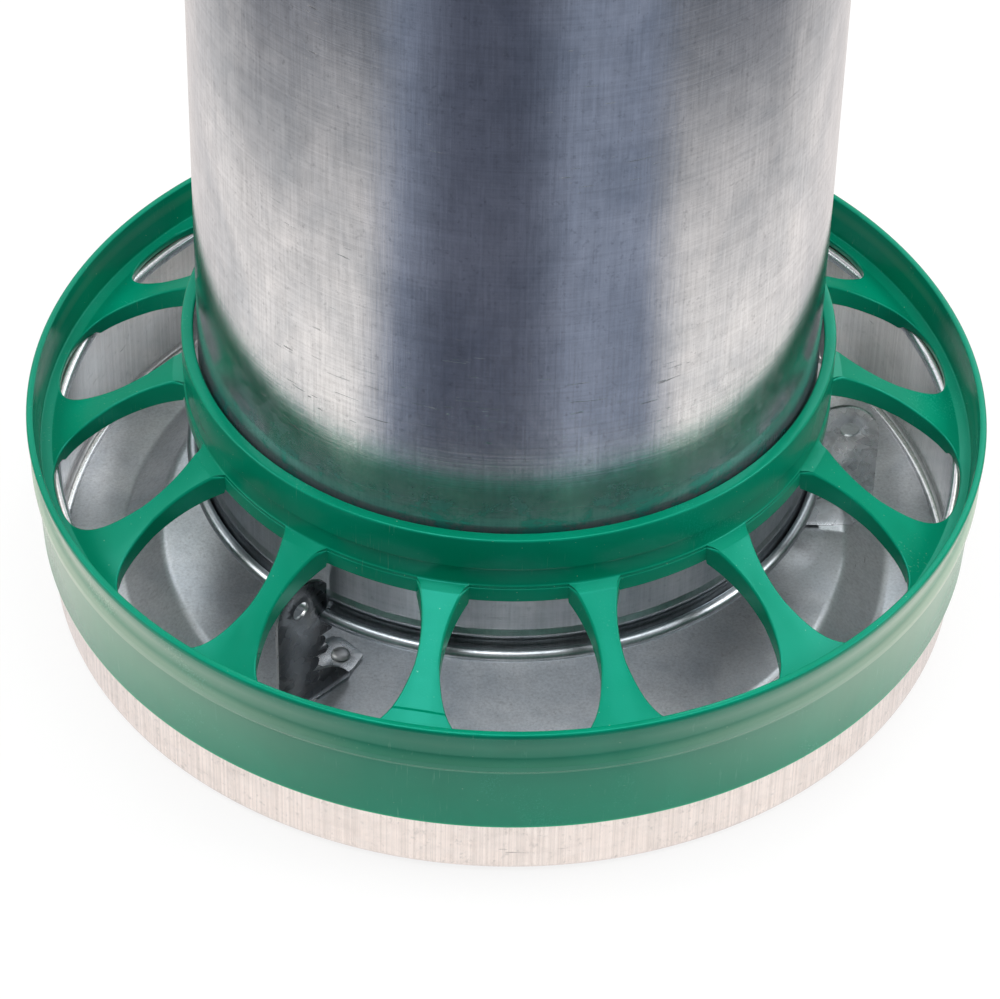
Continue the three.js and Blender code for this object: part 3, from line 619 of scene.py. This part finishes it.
def build_pan():
    """Pressed pan: a raised middle for the brackets, a trough, and a rolled rim."""
    wall = PAN_RADIUS - SHEET / 2
    rim_height = (high("pan_rim_wire").z + low("pan_rim_wire").z) / 2
    rim_radius = high("pan_rim_wire").x - PAN_WIRE
    floor = SHEET / 2
    platform = PLATFORM - SHEET / 2
    path = rounded([
        (0.0, platform + 9, 0), (27, platform + 8.1, 120), (63, platform + 4.05, 160),
        (90, platform, 60), (146, platform, 7), (164, floor, 7), (wall, floor, 4.5),
        (wall, rim_height, 0)], 8)
    path += arc(rim_radius, rim_height, wall - rim_radius, 0, 285, 40)[1:]
    outline = sheet(path)
    outline[0] = (0.0, outline[0][1])
    outline[-1] = (0.0, outline[-1][1])
    vertices, faces = turned(outline)
    make("pan_shell", vertices, faces, [pan_steel], "pan", ["pan"])
    hem_wire("pan_hem_wire", "pan_rim_wire", "pan", PAN_WIRE, rim_radius, rim_height, 180)


# ---- Hopper ----

def build_hopper():
    """Open tube with a stiffening bead above its foot and a rolled rim at each end."""
    wall = HOPPER_RADIUS - SHEET / 2
    curl = TOP_WIRE_RADIUS - wall
    bead = RIM_HEIGHT + 8.5
    path = arc(RIM_RADIUS, RIM_HEIGHT, curl, 105, -180, 40)
    path += rounded([
        path[-1] + (0,), (wall, RIM_HEIGHT + 4, 4), (wall, bead - 3, 2.5),
        (wall + BEAD_RISE, bead, 1.8), (wall, bead + 3, 2.5), (wall, bead + 8, 0),
        (wall, TOP_WIRE_HEIGHT, 0)], 6)[1:]
    path += arc(TOP_WIRE_RADIUS, TOP_WIRE_HEIGHT, curl, 180, -105, 40)[1:]
    vertices, faces = turned(sheet(path))
    make("hopper_shell", vertices, faces, [tube_steel], "hopper", ["hopper_tube"])
    for end, radius, height in (("bottom", RIM_RADIUS, RIM_HEIGHT),
                                ("top", TOP_WIRE_RADIUS, TOP_WIRE_HEIGHT)):
        hem_wire(f"hopper_{end}_hem_wire", f"hopper_{end}_wire", "hopper", RIM_WIRE, radius,
                 height, 160)
    build_seam()


def build_seam():
    """The tube's lock seam: a folded double strip down the back, pressed nearly flat."""
    foot, head = RIM_HEIGHT + 14, TOP_WIRE_HEIGHT - 6
    section = [(-4.2, -0.3), (-4.0, 0.55), (-3.3, 0.85), (3.1, 0.85), (3.9, 0.62), (4.0, -0.3)]
    levels = [(foot, 0.2), (foot + 1.5, 1.0), (head - 1.5, 1.0), (head, 0.2)]
    vertices = []
    for height, proud in levels:
        for across, off in section:
            angle = math.pi / 2 + across / HOPPER_RADIUS
            radius = HOPPER_RADIUS + (off * proud if off > 0 else off)
            vertices.append((radius * math.cos(angle), radius * math.sin(angle), height))
    faces = stacked(len(section), len(levels))
    make("hopper_lock_seam", vertices, faces, [tube_steel], "hopper", [])


# ---- Rivets ----

RIVET_HOLE = 2.3            # radius of a rivet's hole


def build_rivet(node, body, matrix, grip):
    """Domed head above z = 0 and an upset tail below the grip."""
    angles = [math.radians(a) for a in range(0, 90, 9)]
    outline = [(0.0, -grip - 1.4), (1.9, -grip - 1.4), (2.5, -grip - 1.15), (3.0, -grip - 0.5),
               (3.2, -grip), (2.0, -grip), (2.0, 0), (3.9, 0)]
    outline += [(4 * math.cos(a), 2 * math.sin(a)) for a in angles] + [(0.0, 2.0)]
    vertices, faces = turned(outline, 40)
    make(node + "_fastener", placed(vertices, matrix), faces, [rivet_zinc], body, [node])


# ---- Brackets ----

BRACKETS = [(-124, -10, -1), (-0.5, 0, 1), (118, 0, -1)]    # place, skew and foot's side
BRACKET_SHEET = 1.5
BEND_RADIUS = 1.2           # inside of the foot's fold
BEND_STEPS = 8
REACH = 156.5               # outer edge of the plate
HEAD_ROUND = 14.5
HEEL_ROUND = 16.5
TIP = 115.4                 # inner end of the plate, on the foot
PIVOT = 144                 # hole that a skewed bracket turns about
FOOT_INNER = 104
FOOT_OUTER = 135
FOOT_RIVETS = (("inner", FOOT_INNER + 7.5), ("outer", FOOT_OUTER - 9))
FOOT_WIDTH = 22
FOOT_LEVEL = PLATFORM + FIT_GAP
NOTCH_GAP = 0.4             # between the rolled rim and its notch
NOTCH = 2.976 + NOTCH_GAP   # radius of a notch
NOTCH_PITCH = 13.2          # between two feed heights
NOSE = RIM_RADIUS - 4       # plate inside the rim, between the upper notches
TOOTH = RIM_RADIUS - 2      # the same between the lower ones


def bracket_outline():
    """The plate above the ground in (radius, height), from its foot's outer end to its tip."""
    head_middle, head_height = REACH - HEAD_ROUND, RIM_HEIGHT + 9
    head_inner = HOPPER_RADIUS + BEAD_RISE + 2 * FIT_GAP
    head_end = math.degrees(math.acos((head_inner - head_middle) / HEAD_ROUND))
    second = RIM_HEIGHT - NOTCH_PITCH
    third = second - NOTCH_PITCH
    gum = second - NOTCH
    middle, lowest = RIM_RADIUS + 3.2, (RIM_RADIUS + 7.2, third + 3.4)
    points = arc(REACH - HEEL_ROUND, FOOT_LEVEL + HEEL_ROUND, HEEL_ROUND, -90, 0, 16)
    points += arc(head_middle, head_height, HEAD_ROUND, 0, head_end, 24)
    points += rounded([
        (head_inner, head_height + 4, 0), (head_inner, RIM_HEIGHT + NOTCH, 0.8),
        (RIM_RADIUS, RIM_HEIGHT + NOTCH, 0)], 4)[1:]
    points += arc(RIM_RADIUS, RIM_HEIGHT, NOTCH, 90, 270, 14)[1:]
    points += rounded([
        (RIM_RADIUS - 0.1, RIM_HEIGHT - NOTCH, 0), (NOSE, RIM_HEIGHT - NOTCH, 1.1),
        (NOSE, second + NOTCH, 1.1), (RIM_RADIUS + 3, second + NOTCH, 0)], 4)[1:]
    points += arc(middle, second, NOTCH, 90, 270, 14)
    points += rounded([
        (RIM_RADIUS + 3, gum, 0), (TOOTH + 1, gum, 0.5), (TOOTH, gum - 2, 0.8),
        (TOOTH + 1.5, gum - 4.5, 1.5), (lowest[0], lowest[1] + NOTCH + NOTCH_GAP, 0)], 4)[1:-1]
    points += arc(*lowest, NOTCH + NOTCH_GAP, 90, 270, 14)
    points += bezier([(RIM_RADIUS, third - NOTCH), (TIP + 6, FOOT_LEVEL + 12),
                      (TIP, FOOT_LEVEL)], 12)
    return points + [(TIP, FOOT_LEVEL)]


def build_bracket(number, angle, skew, side):
    node = f"bracket_{number}"
    fold = BEND_RADIUS + BRACKET_SHEET / 2
    length = fold * math.pi / 2
    # Flat pattern: y > 0 climbs the plate, y < 0 runs out along the foot.
    lift = FOOT_LEVEL + BRACKET_SHEET / 2 + fold
    out = length + FOOT_WIDTH - fold
    plate_points = [(x, z - lift) for x, z in bracket_outline() if z - lift > 0.05]
    first_x, last_x = plate_points[0][0], plate_points[-1][0]
    foot = rounded([
        (last_x, -0.01, 0), (last_x, -length * 0.5, 0.6), (FOOT_INNER, -length - 3, 2.5),
        (FOOT_INNER, -out, 5), (FOOT_OUTER, -out, 5), (FOOT_OUTER, -length * 0.5, 1.5),
        (first_x, 0.0, 0)], 6)
    outline = plate_points + foot[:-1]
    holes = [arc(PIVOT, RIM_HEIGHT + 11 - lift, 4, 0, 360, 32)[:-1]]
    for _, radius in FOOT_RIVETS:
        holes.append(arc(radius, FOOT_WIDTH / 2 - out, RIVET_HOLE, 0, 360, 20)[:-1])
    rows = [-length * i / BEND_STEPS for i in range(BEND_STEPS + 1)]
    bends = [((60, y), (200, y)) for y in rows]

    def to_space(point, off):
        x, y = point
        if y >= 0:
            return Vector((x, -side * off, lift + y))
        if y <= -length:
            return Vector((x, side * (fold - y - length), lift - fold + off))
        turn = -y / fold
        radius = fold - off
        return Vector((x, side * (fold - radius * math.cos(turn)), lift - radius * math.sin(turn)))

    vertices, faces, skins = flat_sheet(outline, holes, bends, to_space, BRACKET_SHEET)
    pivot = Matrix.Translation((PIVOT, 0, 0))
    matrix = Matrix.Rotation(math.radians(angle), 4, "Z") @ pivot
    matrix = matrix @ Matrix.Rotation(math.radians(skew), 4, "Z") @ pivot.inverted()
    # Bracket 1 takes the painted-shade copy of the plate.
    face = shaded_plate if number == 1 else plate
    made = make(node + "_plate", placed(vertices, matrix), faces, [face, edge], "pan", [node])
    soften(made, 0.22, skins)
    grip = BRACKET_SHEET + SHEET + 3 * FIT_GAP
    top = FOOT_LEVEL + BRACKET_SHEET + FIT_GAP
    for place, radius in FOOT_RIVETS:
        seat = Matrix.Translation((radius, side * FOOT_WIDTH / 2, top))
        build_rivet(f"{node}_rivet_{place}", "pan", matrix @ seat, grip)


def soften(made, width, skins):
    """Rounds a sheet's sheared edges, gives them the second material and shades them. Its
    first faces, as many as skins, are the two sides of the sheet."""
    for face in made.data.polygons[skins:]:
        face.material_index = 1
    bevel = made.modifiers.new("edges", "BEVEL")
    bevel.width = width * MM
    bevel.segments = 2
    bevel.limit_method = "ANGLE"
    bevel.angle_limit = math.radians(50)
    bevel.material = 1
    apply(made)
    shade(made, 40)


# ---- Ears and bail ----

EAR_SHEET = 1.6
EAR_STEP = 5.6              # how far the eye's end stands off the riveted end
EAR_EYE = EAR_TOP - EAR_HALF
EAR_RIVETS = (("front", -6), ("back", 6))
BAIL_WIRE = 2               # radius


def build_ear(name, turn):
    """Cranked strap: two rivets through the wall, and above them an eye for the bail."""
    wall = HOPPER_RADIUS + FIT_GAP + EAR_SHEET / 2
    side_path = rounded([
        (wall, EAR_EYE - 36, 0), (wall, EAR_EYE - 18, 3),
        (wall + EAR_STEP, EAR_EYE - 10, 3), (wall + EAR_STEP, EAR_TOP, 0)], 8)
    lengths = [0.0]
    for a, b in zip(side_path, side_path[1:]):
        lengths.append(lengths[-1] + (Vector(b) - Vector(a)).length)

    def at(distance):
        for i in range(len(side_path) - 1):
            if distance <= lengths[i + 1] or i == len(side_path) - 2:
                share = (distance - lengths[i]) / (lengths[i + 1] - lengths[i])
                a, b = Vector(side_path[i]), Vector(side_path[i + 1])
                along = (b - a).normalized()
                return a.lerp(b, share), Vector((along.y, -along.x))

    eye_at = lengths[-1] - EAR_HALF
    outline = rounded([(0, 0, 0), (EAR_HALF, 0, 3), (EAR_HALF, eye_at, 0)], 5)[1:]
    outline += arc(0, eye_at, EAR_HALF, 0, 180, 32)[1:]
    outline += rounded([(-EAR_HALF, eye_at, 0), (-EAR_HALF, 0, 3), (0, 0, 0)], 5)[1:]
    holes = [arc(0, eye_at, BAIL_WIRE + FIT_GAP, 0, 360, 28)[:-1]]
    for _, spread in EAR_RIVETS:
        holes.append(arc(spread, 10, RIVET_HOLE, 0, 360, 20)[:-1])
    bends = [((-40, s), (40, s)) for s in lengths[1:-1]]

    def to_space(point, off):
        place, normal = at(point[1])
        place = place + normal * off
        return Vector((place.x, point[0], place.y))

    vertices, faces, skins = flat_sheet(outline, holes, bends, to_space, EAR_SHEET)
    matrix = Matrix.Rotation(turn, 4, "Z")
    made = make(name + "_plate", placed(vertices, matrix), faces, [plate, edge], "hopper", [name])
    soften(made, 0.25, skins)
    face = wall + EAR_SHEET / 2 + FIT_GAP
    inner = (HOPPER_RADIUS - SHEET) * math.cos(math.pi / CAD_FACETS) - 2 * FIT_GAP
    lying = Matrix.Rotation(math.pi / 2, 4, "Y")
    for place, spread in EAR_RIVETS:
        seat = Matrix.Translation((face, spread, EAR_EYE - 26)) @ lying
        build_rivet(f"{name}_rivet_{place}", "hopper", matrix @ seat, face - inner)


def build_bail():
    """Wire handle, stowed against the back of the hopper."""
    half_width = high("bail").x - BAIL_WIRE
    reach, corner, heel = 200, 60, 5
    stow = math.pi - math.asin((HOPPER_RADIUS + 0.5 + BAIL_WIRE) / reach)
    end = HOPPER_RADIUS + 3.2
    side = [(end, 0), (end + 1.2, 0)] + arc(half_width - heel, heel, heel, -90, 0, 10)
    side += arc(half_width - corner, reach - corner, corner, 0, 90, 26)
    path = side + [(-x, z) for x, z in side[::-1]]
    matrix = Matrix.Translation((0, 0, EAR_EYE)) @ Matrix.Rotation(-stow, 4, "X")
    points = [matrix @ Vector((x, 0, z)) for x, z in path]
    vertices, faces = wire(points, BAIL_WIRE, 24)
    make("bail_wire", vertices, faces, [wire_zinc], "bail", ["bail"])


# ---- Lid ----

KNOB_RADIUS = 13
SCREW_PITCH = 0.5


def build_lid():
    """Domed sheet lid with a rolled hem, and a black ball knob screwed on from below."""
    crown = LID_LEVEL + 25
    hem = 1.3
    path = rounded([
        (2.3, crown, 0), (24, crown, 14), (60, crown - 8.6, 220), (124, LID_LEVEL, 10),
        (LID_WALL - 0.3, LID_LEVEL, 1.6), (LID_WALL, LID_LEVEL - 8, 0)], 8)
    path += arc(LID_WALL + hem, LID_LEVEL - 8, hem, 180, 400, 24)[1:]
    vertices, faces = turned(sheet(path))
    make("lid_shell", vertices, faces, [lid_steel], "lid", ["lid"])
    base = low("lid_knob").z
    ball = high("lid_knob").z - KNOB_RADIUS
    outline = [(0.0, base + 14), (2.3, base + 13), (2.3, base), (9.4, base)]
    outline += rounded([
        (9.6, base, 0), (10, base + 0.5, 0.4), (10, base + 2, 0.8), (7.4, base + 3.1, 0.5),
        (9.66, ball - 8.7, 0)], 5)
    outline += arc(0, ball, KNOB_RADIUS, -38, -6, 8)
    outline += [(12.98, ball - 0.5), (13.0, ball - 0.3), (13.0, ball + 0.3), (12.98, ball + 0.5)]
    outline += arc(0, ball, KNOB_RADIUS, 5, 89, 21) + [(0.0, ball + KNOB_RADIUS)]
    vertices, faces = turned(outline, 96)
    make("knob_ball", vertices, faces, [black], "lid", ["lid_knob"])
    build_lid_screw()


def build_lid_screw():
    """Pan-head screw from below, with a cross recess and a rolled thread inside the knob."""
    seat = low("lid_screw").z + 2.2
    tip = high("lid_screw").z
    outline = [(0.0, seat - 2.2), (2.6, seat - 2.2), (3.4, seat - 1.9), (4.0, seat - 1.2),
               (4.2, seat - 0.5), (4.2, seat), (2.0, seat), (2.0, seat + 2)]
    height = seat + 2
    while height < tip - 2:
        outline += [(1.62, height + SCREW_PITCH / 2), (2.0, height + SCREW_PITCH)]
        height += SCREW_PITCH
    outline += [(1.5, tip - 0.6), (0.0, tip)]
    vertices, faces = turned(outline, 32)
    screw = make("lid_screw_thread", vertices, faces, [rivet_zinc], "lid", ["lid_screw"])
    for turn in (0, math.pi / 2):
        bar = [(x, y, z) for z in (seat - 3, seat - 1)
               for x, y in ((-1.9, -0.4), (1.9, -0.4), (1.9, 0.4), (-1.9, 0.4))]
        cut(screw, placed(bar, Matrix.Rotation(turn, 4, "Z")), stacked(4, 2))


# ---- Feed grille ----

SPOKES = 14
GRILLE_FACETS = SPOKES * 18
FLANGE_TOP = LIP_TOP - 17
COLLAR_INSIDE = 131.5
COLLAR_OUTSIDE = 133.8
WINDOW_START = 134.4
WINDOW_END = 191
WINDOW_WAIST = 161
EDGE_ROUND = 1.1


def deck_slope():
    """Where the spokes' upper face starts to fall, and how steeply."""
    start, end = COLLAR_OUTSIDE + 5, WINDOW_END - 1
    return start, (HUB_TOP - FLANGE_TOP) / (end - start)


def deck(radius):
    """Height of the spokes' upper face at a radius."""
    start, slope = deck_slope()
    return min(HUB_TOP, max(FLANGE_TOP, HUB_TOP - slope * (radius - start)))


def window_outline():
    """One window, straight out along +X, anticlockwise, closely stepped."""
    inner, waist = 19.5, 31.5
    angle = math.asin(inner / WINDOW_START)
    start = WINDOW_START * math.cos(angle)
    lead = start + (WINDOW_WAIST - start) * 0.45
    first = bezier([(start, -inner), (lead, -waist + 1.5), (WINDOW_WAIST, -waist)], 12)
    first += bezier([(WINDOW_WAIST, -waist), (WINDOW_END - 10, -waist),
                     (WINDOW_END, -waist + 5.5), (WINDOW_END, 0)], 16)
    mirrored = [(x, -y) for x, y in first[:0:-1]]
    back = arc(0, 0, WINDOW_START, math.degrees(angle), -math.degrees(angle), 12)[:-1]
    return first + [(WINDOW_END, 0)] + mirrored + back


def outward(loop):
    """Unit normals of a closed anticlockwise loop, pointing out of it."""
    normals = []
    for i, point in enumerate(loop):
        before, after = Vector(loop[i - 1]), Vector(loop[(i + 1) % len(loop)])
        along = (after - before).normalized()
        normals.append(Vector((along.y, -along.x)))
    return normals


def window_cutter():
    """A trumpet: straight below, flaring to the deck so that the spokes' edges come out
    rounded, then straight up. The flare is held back beside the collar."""
    loop = window_outline()
    normals = outward(loop)
    levels = [("z", LIP_TOP - 60, 0.0)]
    for a in (0, 18, 36, 54, 72):
        turn = math.radians(a)
        levels.append(("deck", math.sin(turn) - 1, 1 - math.cos(turn)))
    levels.append(("deck", 1.0, 0.78))
    levels.append(("z", COLLAR_TOP - 17, 0.0))
    vertices = []
    for kind, height, share in levels:
        for (x, y), normal in zip(loop, normals):
            radius = math.hypot(x, y)
            room = min(1.0, max(0.25, (radius - COLLAR_OUTSIDE) / 3))
            size = EDGE_ROUND * room
            point = Vector((x, y)) + normal * (size * share)
            if kind == "z":
                z = height
            elif height > 0:
                z = min(deck(radius) + 4, COLLAR_TOP - 18)
            else:
                z = deck(math.hypot(*point)) + height * size
            vertices.append((point.x, point.y, z))
    return vertices, stacked(len(loop), len(levels))


def hollow_cutter(rib):
    """The window's outline grown by the rib, to keep the ribs out of the hollow underside."""
    loop = window_outline()
    grown = [tuple(Vector(p) + n * rib) for p, n in zip(loop, outward(loop))]
    return [(x, y, z) for z in (0, 200) for x, y in grown], stacked(len(loop), 2)


def ring_of(vertices, faces):
    """A copy of a mesh between each two spokes, as one mesh."""
    all_vertices, all_faces = [], []
    for i in range(SPOKES):
        turn = Matrix.Rotation(math.radians(FIRST_SPOKE + 360 / SPOKES * (i + 0.5)), 4, "Z")
        start = len(all_vertices)
        all_vertices += placed(vertices, turn)
        all_faces += [[v + start for v in face] for face in faces]
    return all_vertices, all_faces


def build_grille():
    """One moulding: the collar, fourteen spokes hollow underneath, the flange, lip and skirt."""
    flange_foot = FLANGE_TOP - 3
    skirt_inner = PAN_RADIUS + 2.5
    skirt_top = GRILLE_RADIUS - 2 - 1.5
    bead = skirt_top + 2.7
    start, slope = deck_slope()
    under = PAN_RADIUS - 5.6 - 1.5
    drop = 6.5 * math.hypot(1, slope)
    skin = 2.5 * math.hypot(1, slope)
    band_foot, band = COLLAR_TOP - 16, COLLAR_OUTSIDE + 0.8
    mouth = COLLAR_INSIDE - 1.9
    outline = rounded([
        (COLLAR_INSIDE, LIP_TOP + 20, 0), (COLLAR_INSIDE, LIP_TOP + 12, 0.5),
        (COLLAR_OUTSIDE, LIP_TOP + 11.4, 0.6),
        (COLLAR_OUTSIDE + 1, deck(COLLAR_OUTSIDE + 6) - drop, 0.5),
        (under, deck(under) - drop, 0.8), (under + 1, flange_foot, 0.3),
        (skirt_top, flange_foot, 0.6), (skirt_inner, GRILLE_FOOT, 0.5),
        (skirt_inner + 1.5, GRILLE_FOOT, 0.5), (skirt_top + 1.0, flange_foot - 3, 2.5),
        (bead, flange_foot - 1, 0.9), (bead, flange_foot + 1.6, 1.0),
        (skirt_top + 0.9, FLANGE_TOP + 2, 2.5), (GRILLE_RADIUS - 1.0, LIP_TOP - 3.2, 0.8),
        (GRILLE_RADIUS, LIP_TOP - 2.4, 0.6), (GRILLE_RADIUS, LIP_TOP, 0.9),
        (GRILLE_RADIUS - 2.9, LIP_TOP, 0.7), (GRILLE_RADIUS - 5, FLANGE_TOP, 0.8),
        (WINDOW_END - 1, FLANGE_TOP, 1.2), (start, HUB_TOP, 3.0),
        (COLLAR_OUTSIDE, LIP_TOP + 16.5, 1.0), (COLLAR_OUTSIDE, band_foot, 0.5),
        (band, band_foot + 0.8, 0.5), (band, COLLAR_TOP, 0.9), (mouth, COLLAR_TOP, 1.0),
        (mouth, COLLAR_TOP - 2.5, 0.8), (COLLAR_INSIDE, COLLAR_TOP - 4.5, 0.8),
        (COLLAR_INSIDE, LIP_TOP + 30, 0)], 4)
    vertices, faces = turned(outline, GRILLE_FACETS)
    made = make("feed_grille_moulding", vertices, faces, [green], "grille",
                ["feed_grille", "guard_ring"])
    inside, outside = COLLAR_OUTSIDE + 3.2, under - 2.2
    lowest = deck(under) - drop - 5
    hollow = solid("hollow", *turned([
        (inside, lowest), (outside, lowest), (outside, deck(outside) - skin),
        (inside, deck(inside) - skin)], GRILLE_FACETS))
    cut(hollow, *ring_of(*hollow_cutter(2.2)))
    vertices = [v.co / MM for v in hollow.data.vertices]
    faces = [list(p.vertices) for p in hollow.data.polygons]
    bpy.data.objects.remove(hollow)
    cut(made, vertices, faces)
    cut(made, *ring_of(*window_cutter()))


# ---- Camera, light and stage ----

def build_camera():
    """Seen from the front and above, with a long lens, turned a little off the lip's centre."""
    elevation, distance = 40.9752, 1792.12
    sideways, tilt, roll = -0.0010, -0.0247, 0.0260
    focal, sensor = 4.29204, 36             # focal length in widths of the image
    height = math.radians(elevation)
    place = Vector((0, -distance * math.cos(height), distance * math.sin(height)))
    forward = -place.normalized()
    right = Vector((1, 0, 0))
    up = right.cross(forward)

    def turn_to(first, second, angle):
        cosine, sine = math.cos(angle), math.sin(angle)
        return first * cosine + second * sine, second * cosine - first * sine

    forward, right = turn_to(forward, right, sideways)
    forward, up = turn_to(forward, up, tilt)
    right, up = turn_to(right, up, roll)
    camera = bpy.data.objects.new("camera", bpy.data.cameras.new("camera"))
    camera.data.lens = focal * sensor
    camera.data.sensor_width = sensor
    camera.data.clip_start, camera.data.clip_end = 0.05, 60
    turn = Matrix((right, up, -forward)).transposed().to_4x4()
    camera.matrix_world = Matrix.Translation((place + Vector((0, 0, LIP_TOP))) * MM) @ turn
    bpy.context.scene.collection.objects.link(camera)
    bpy.context.scene.camera = camera


def build_lamp(name, place, target, size, power, colour=(1, 1, 1)):
    """A soft box in metres, facing its target."""
    lamp = bpy.data.lights.new(name, "AREA")
    lamp.shape = "RECTANGLE"
    lamp.size, lamp.size_y = size
    lamp.energy = power
    lamp.color = colour
    made = bpy.data.objects.new(name, lamp)
    made.location = place
    made.rotation_mode = "QUATERNION"
    made.rotation_quaternion = (Vector(target) - Vector(place)).to_track_quat("-Z", "Y")
    bpy.context.scene.collection.objects.link(made)
    return made


def build_stage():
    floor = bpy.data.meshes.new("floor")
    floor.from_pydata([(-6, -6, 0), (6, -6, 0), (6, 6, 0), (-6, 6, 0)], [], [(0, 1, 2, 3)])
    floor.materials.append(floor_look())
    made = bpy.data.objects.new("floor", floor)
    bpy.context.scene.collection.objects.link(made)
    world = bpy.data.worlds.new("studio")
    world.use_nodes = True
    nodes, link = world.node_tree.nodes, world.node_tree.links.new
    path, strength = nodes.new("ShaderNodeLightPath"), nodes.new("ShaderNodeMapRange")
    strength.inputs["To Min"].default_value = WORLD
    strength.inputs["To Max"].default_value = 1.0
    background = nodes["Background"].inputs
    background["Color"].default_value = (1, 1, 1, 1)
    link(path.outputs["Is Camera Ray"], strength.inputs["Value"])
    link(strength.outputs["Result"], background["Strength"])
    bpy.context.scene.world = world
    for lamp in LAMPS:
        build_lamp(*lamp)
    inner = build_lamp("inside_glow", (0, 0, 0.462), (0, 0, 0), (0.17, 0.17), INSIDE_GLOW)
    inner.visible_camera = False
    bpy.context.scene.view_settings.view_transform = "Standard"


def floor_look():
    """White table. Seen directly or mirrored it is part lit and part white by itself. Metal
    and bounced light find it darker away from the feeder, and darkest out in front. From
    underneath it is clear, so the feeder's underside can be seen."""
    m = Nodes("floor_look")
    path = m.add("ShaderNodeLightPath").outputs
    reach = m.radius()
    behind = m.times(m.math("MAXIMUM", m.axis("Y"), 0.0), 0.5)
    wall = m.remap(m.math("SUBTRACT", reach, behind), 0.33, 0.57, 1, 0)

    def toward(degrees):
        """Cosine of a point's angle from a direction, in degrees right of the front."""
        turn = math.radians(degrees)
        way = (math.sin(turn), -math.cos(turn), 0)
        return m.math("DIVIDE", m.dot(way), m.math("MAXIMUM", reach, 0.01))

    sides = m.remap(toward(4), 0.64, 0.80)
    near = m.remap(reach, 0.268, 0.300)
    front = m.times(sides, near)
    centre = m.remap(toward(-8), 0.89, 0.985)
    around = m.mix(wall, FLOOR_FAR, FLOOR_WHITE)
    ahead_colour = m.mix(centre, FLOOR_FRONT, FLOOR_DARK)
    mirrored = m.mix(front, around, ahead_colour)
    speckle = m.noise(180, 180, 3, 0.6)
    plain = m.mix(m.remap(speckle, 0.3, 0.7, 0, 0.03), FLOOR_PALE, (0.7, 0.7, 0.7, 1))
    colour = m.mix(path["Is Camera Ray"], mirrored, plain)
    m.finish(colour, 0.8, m.bump(speckle, 0.00002))
    shown = m.mix(path["Is Camera Ray"], mirrored, (1, 1, 1, 1))
    glow = m.add("ShaderNodeEmission", {"Color": shown}).outputs[0]
    seen = m.times(path["Is Camera Ray"], FLOOR_GLOW)
    mirror = m.math("MAXIMUM", path["Is Glossy Ray"], path["Is Transmission Ray"])
    share = m.math("MAXIMUM", seen, mirror)
    both = m.add("ShaderNodeMixShader", {0: share, 1: m.shader.outputs[0], 2: glow}).outputs[0]
    below = m.add("ShaderNodeNewGeometry").outputs["Backfacing"]
    clear = m.add("ShaderNodeBsdfTransparent").outputs[0]
    whole = m.add("ShaderNodeMixShader", {0: below, 1: both, 2: clear}).outputs[0]
    m.put(m.tree.nodes["Material Output"].inputs["Surface"], whole)
    return m.material


WORLD = 0.36
FLOOR_PALE = (0.90, 0.90, 0.90, 1)
FLOOR_WHITE = (1.00, 0.94, 0.90, 1)
FLOOR_FAR = (0.17, 0.18, 0.21, 1)
FLOOR_FRONT = (0.25, 0.28, 0.36, 1)
FLOOR_DARK = (0.10, 0.11, 0.15, 1)
FLOOR_GLOW = 0.8
INSIDE_GLOW = 0.085         # light that an open hopper lets in from above
LAMPS = [
    ("left_softbox", (-1.2, 0, 0.9), (-0.15, 0, 0.05), (0.7, 0.7), 6, (1, 0.98, 0.96)),
    ("right_softbox", (1.2, -0.1, 0.9), (0.15, 0, 0.05), (0.7, 0.7), 7.5, (1, 0.98, 0.96)),
    ("top_softbox", (0.05, -0.15, 1.9), (0, 0, 0), (1.8, 1.3), 30),
    ("back_softbox", (0, 1.5, 1.25), (0, 0.1, 0), (0.8, 1.2), 1.3, (0.94, 0.97, 1)),
    ("back_left_softbox", (-0.85, 1.5, 1.25), (0, 0.1, 0), (0.9, 1.2), 3.2, (0.94, 0.98, 1)),
    ("back_right_softbox", (0.85, 1.5, 1.25), (0, 0.1, 0), (0.9, 1.2), 6.0, (0.94, 0.98, 1)),
    ("front_softbox", (-0.33, -0.42, 1.65), (0, -0.1, 0), (0.32, 0.32), 1.5),
]

build_camera()
build_pan()
build_hopper()
for number, (angle, skew, side) in enumerate(BRACKETS, 1):
    build_bracket(number, angle, skew, side)
build_ear("bail_ear_right", 0)
build_ear("bail_ear_left", math.pi)
build_bail()
build_lid()
build_grille()
build_stage()
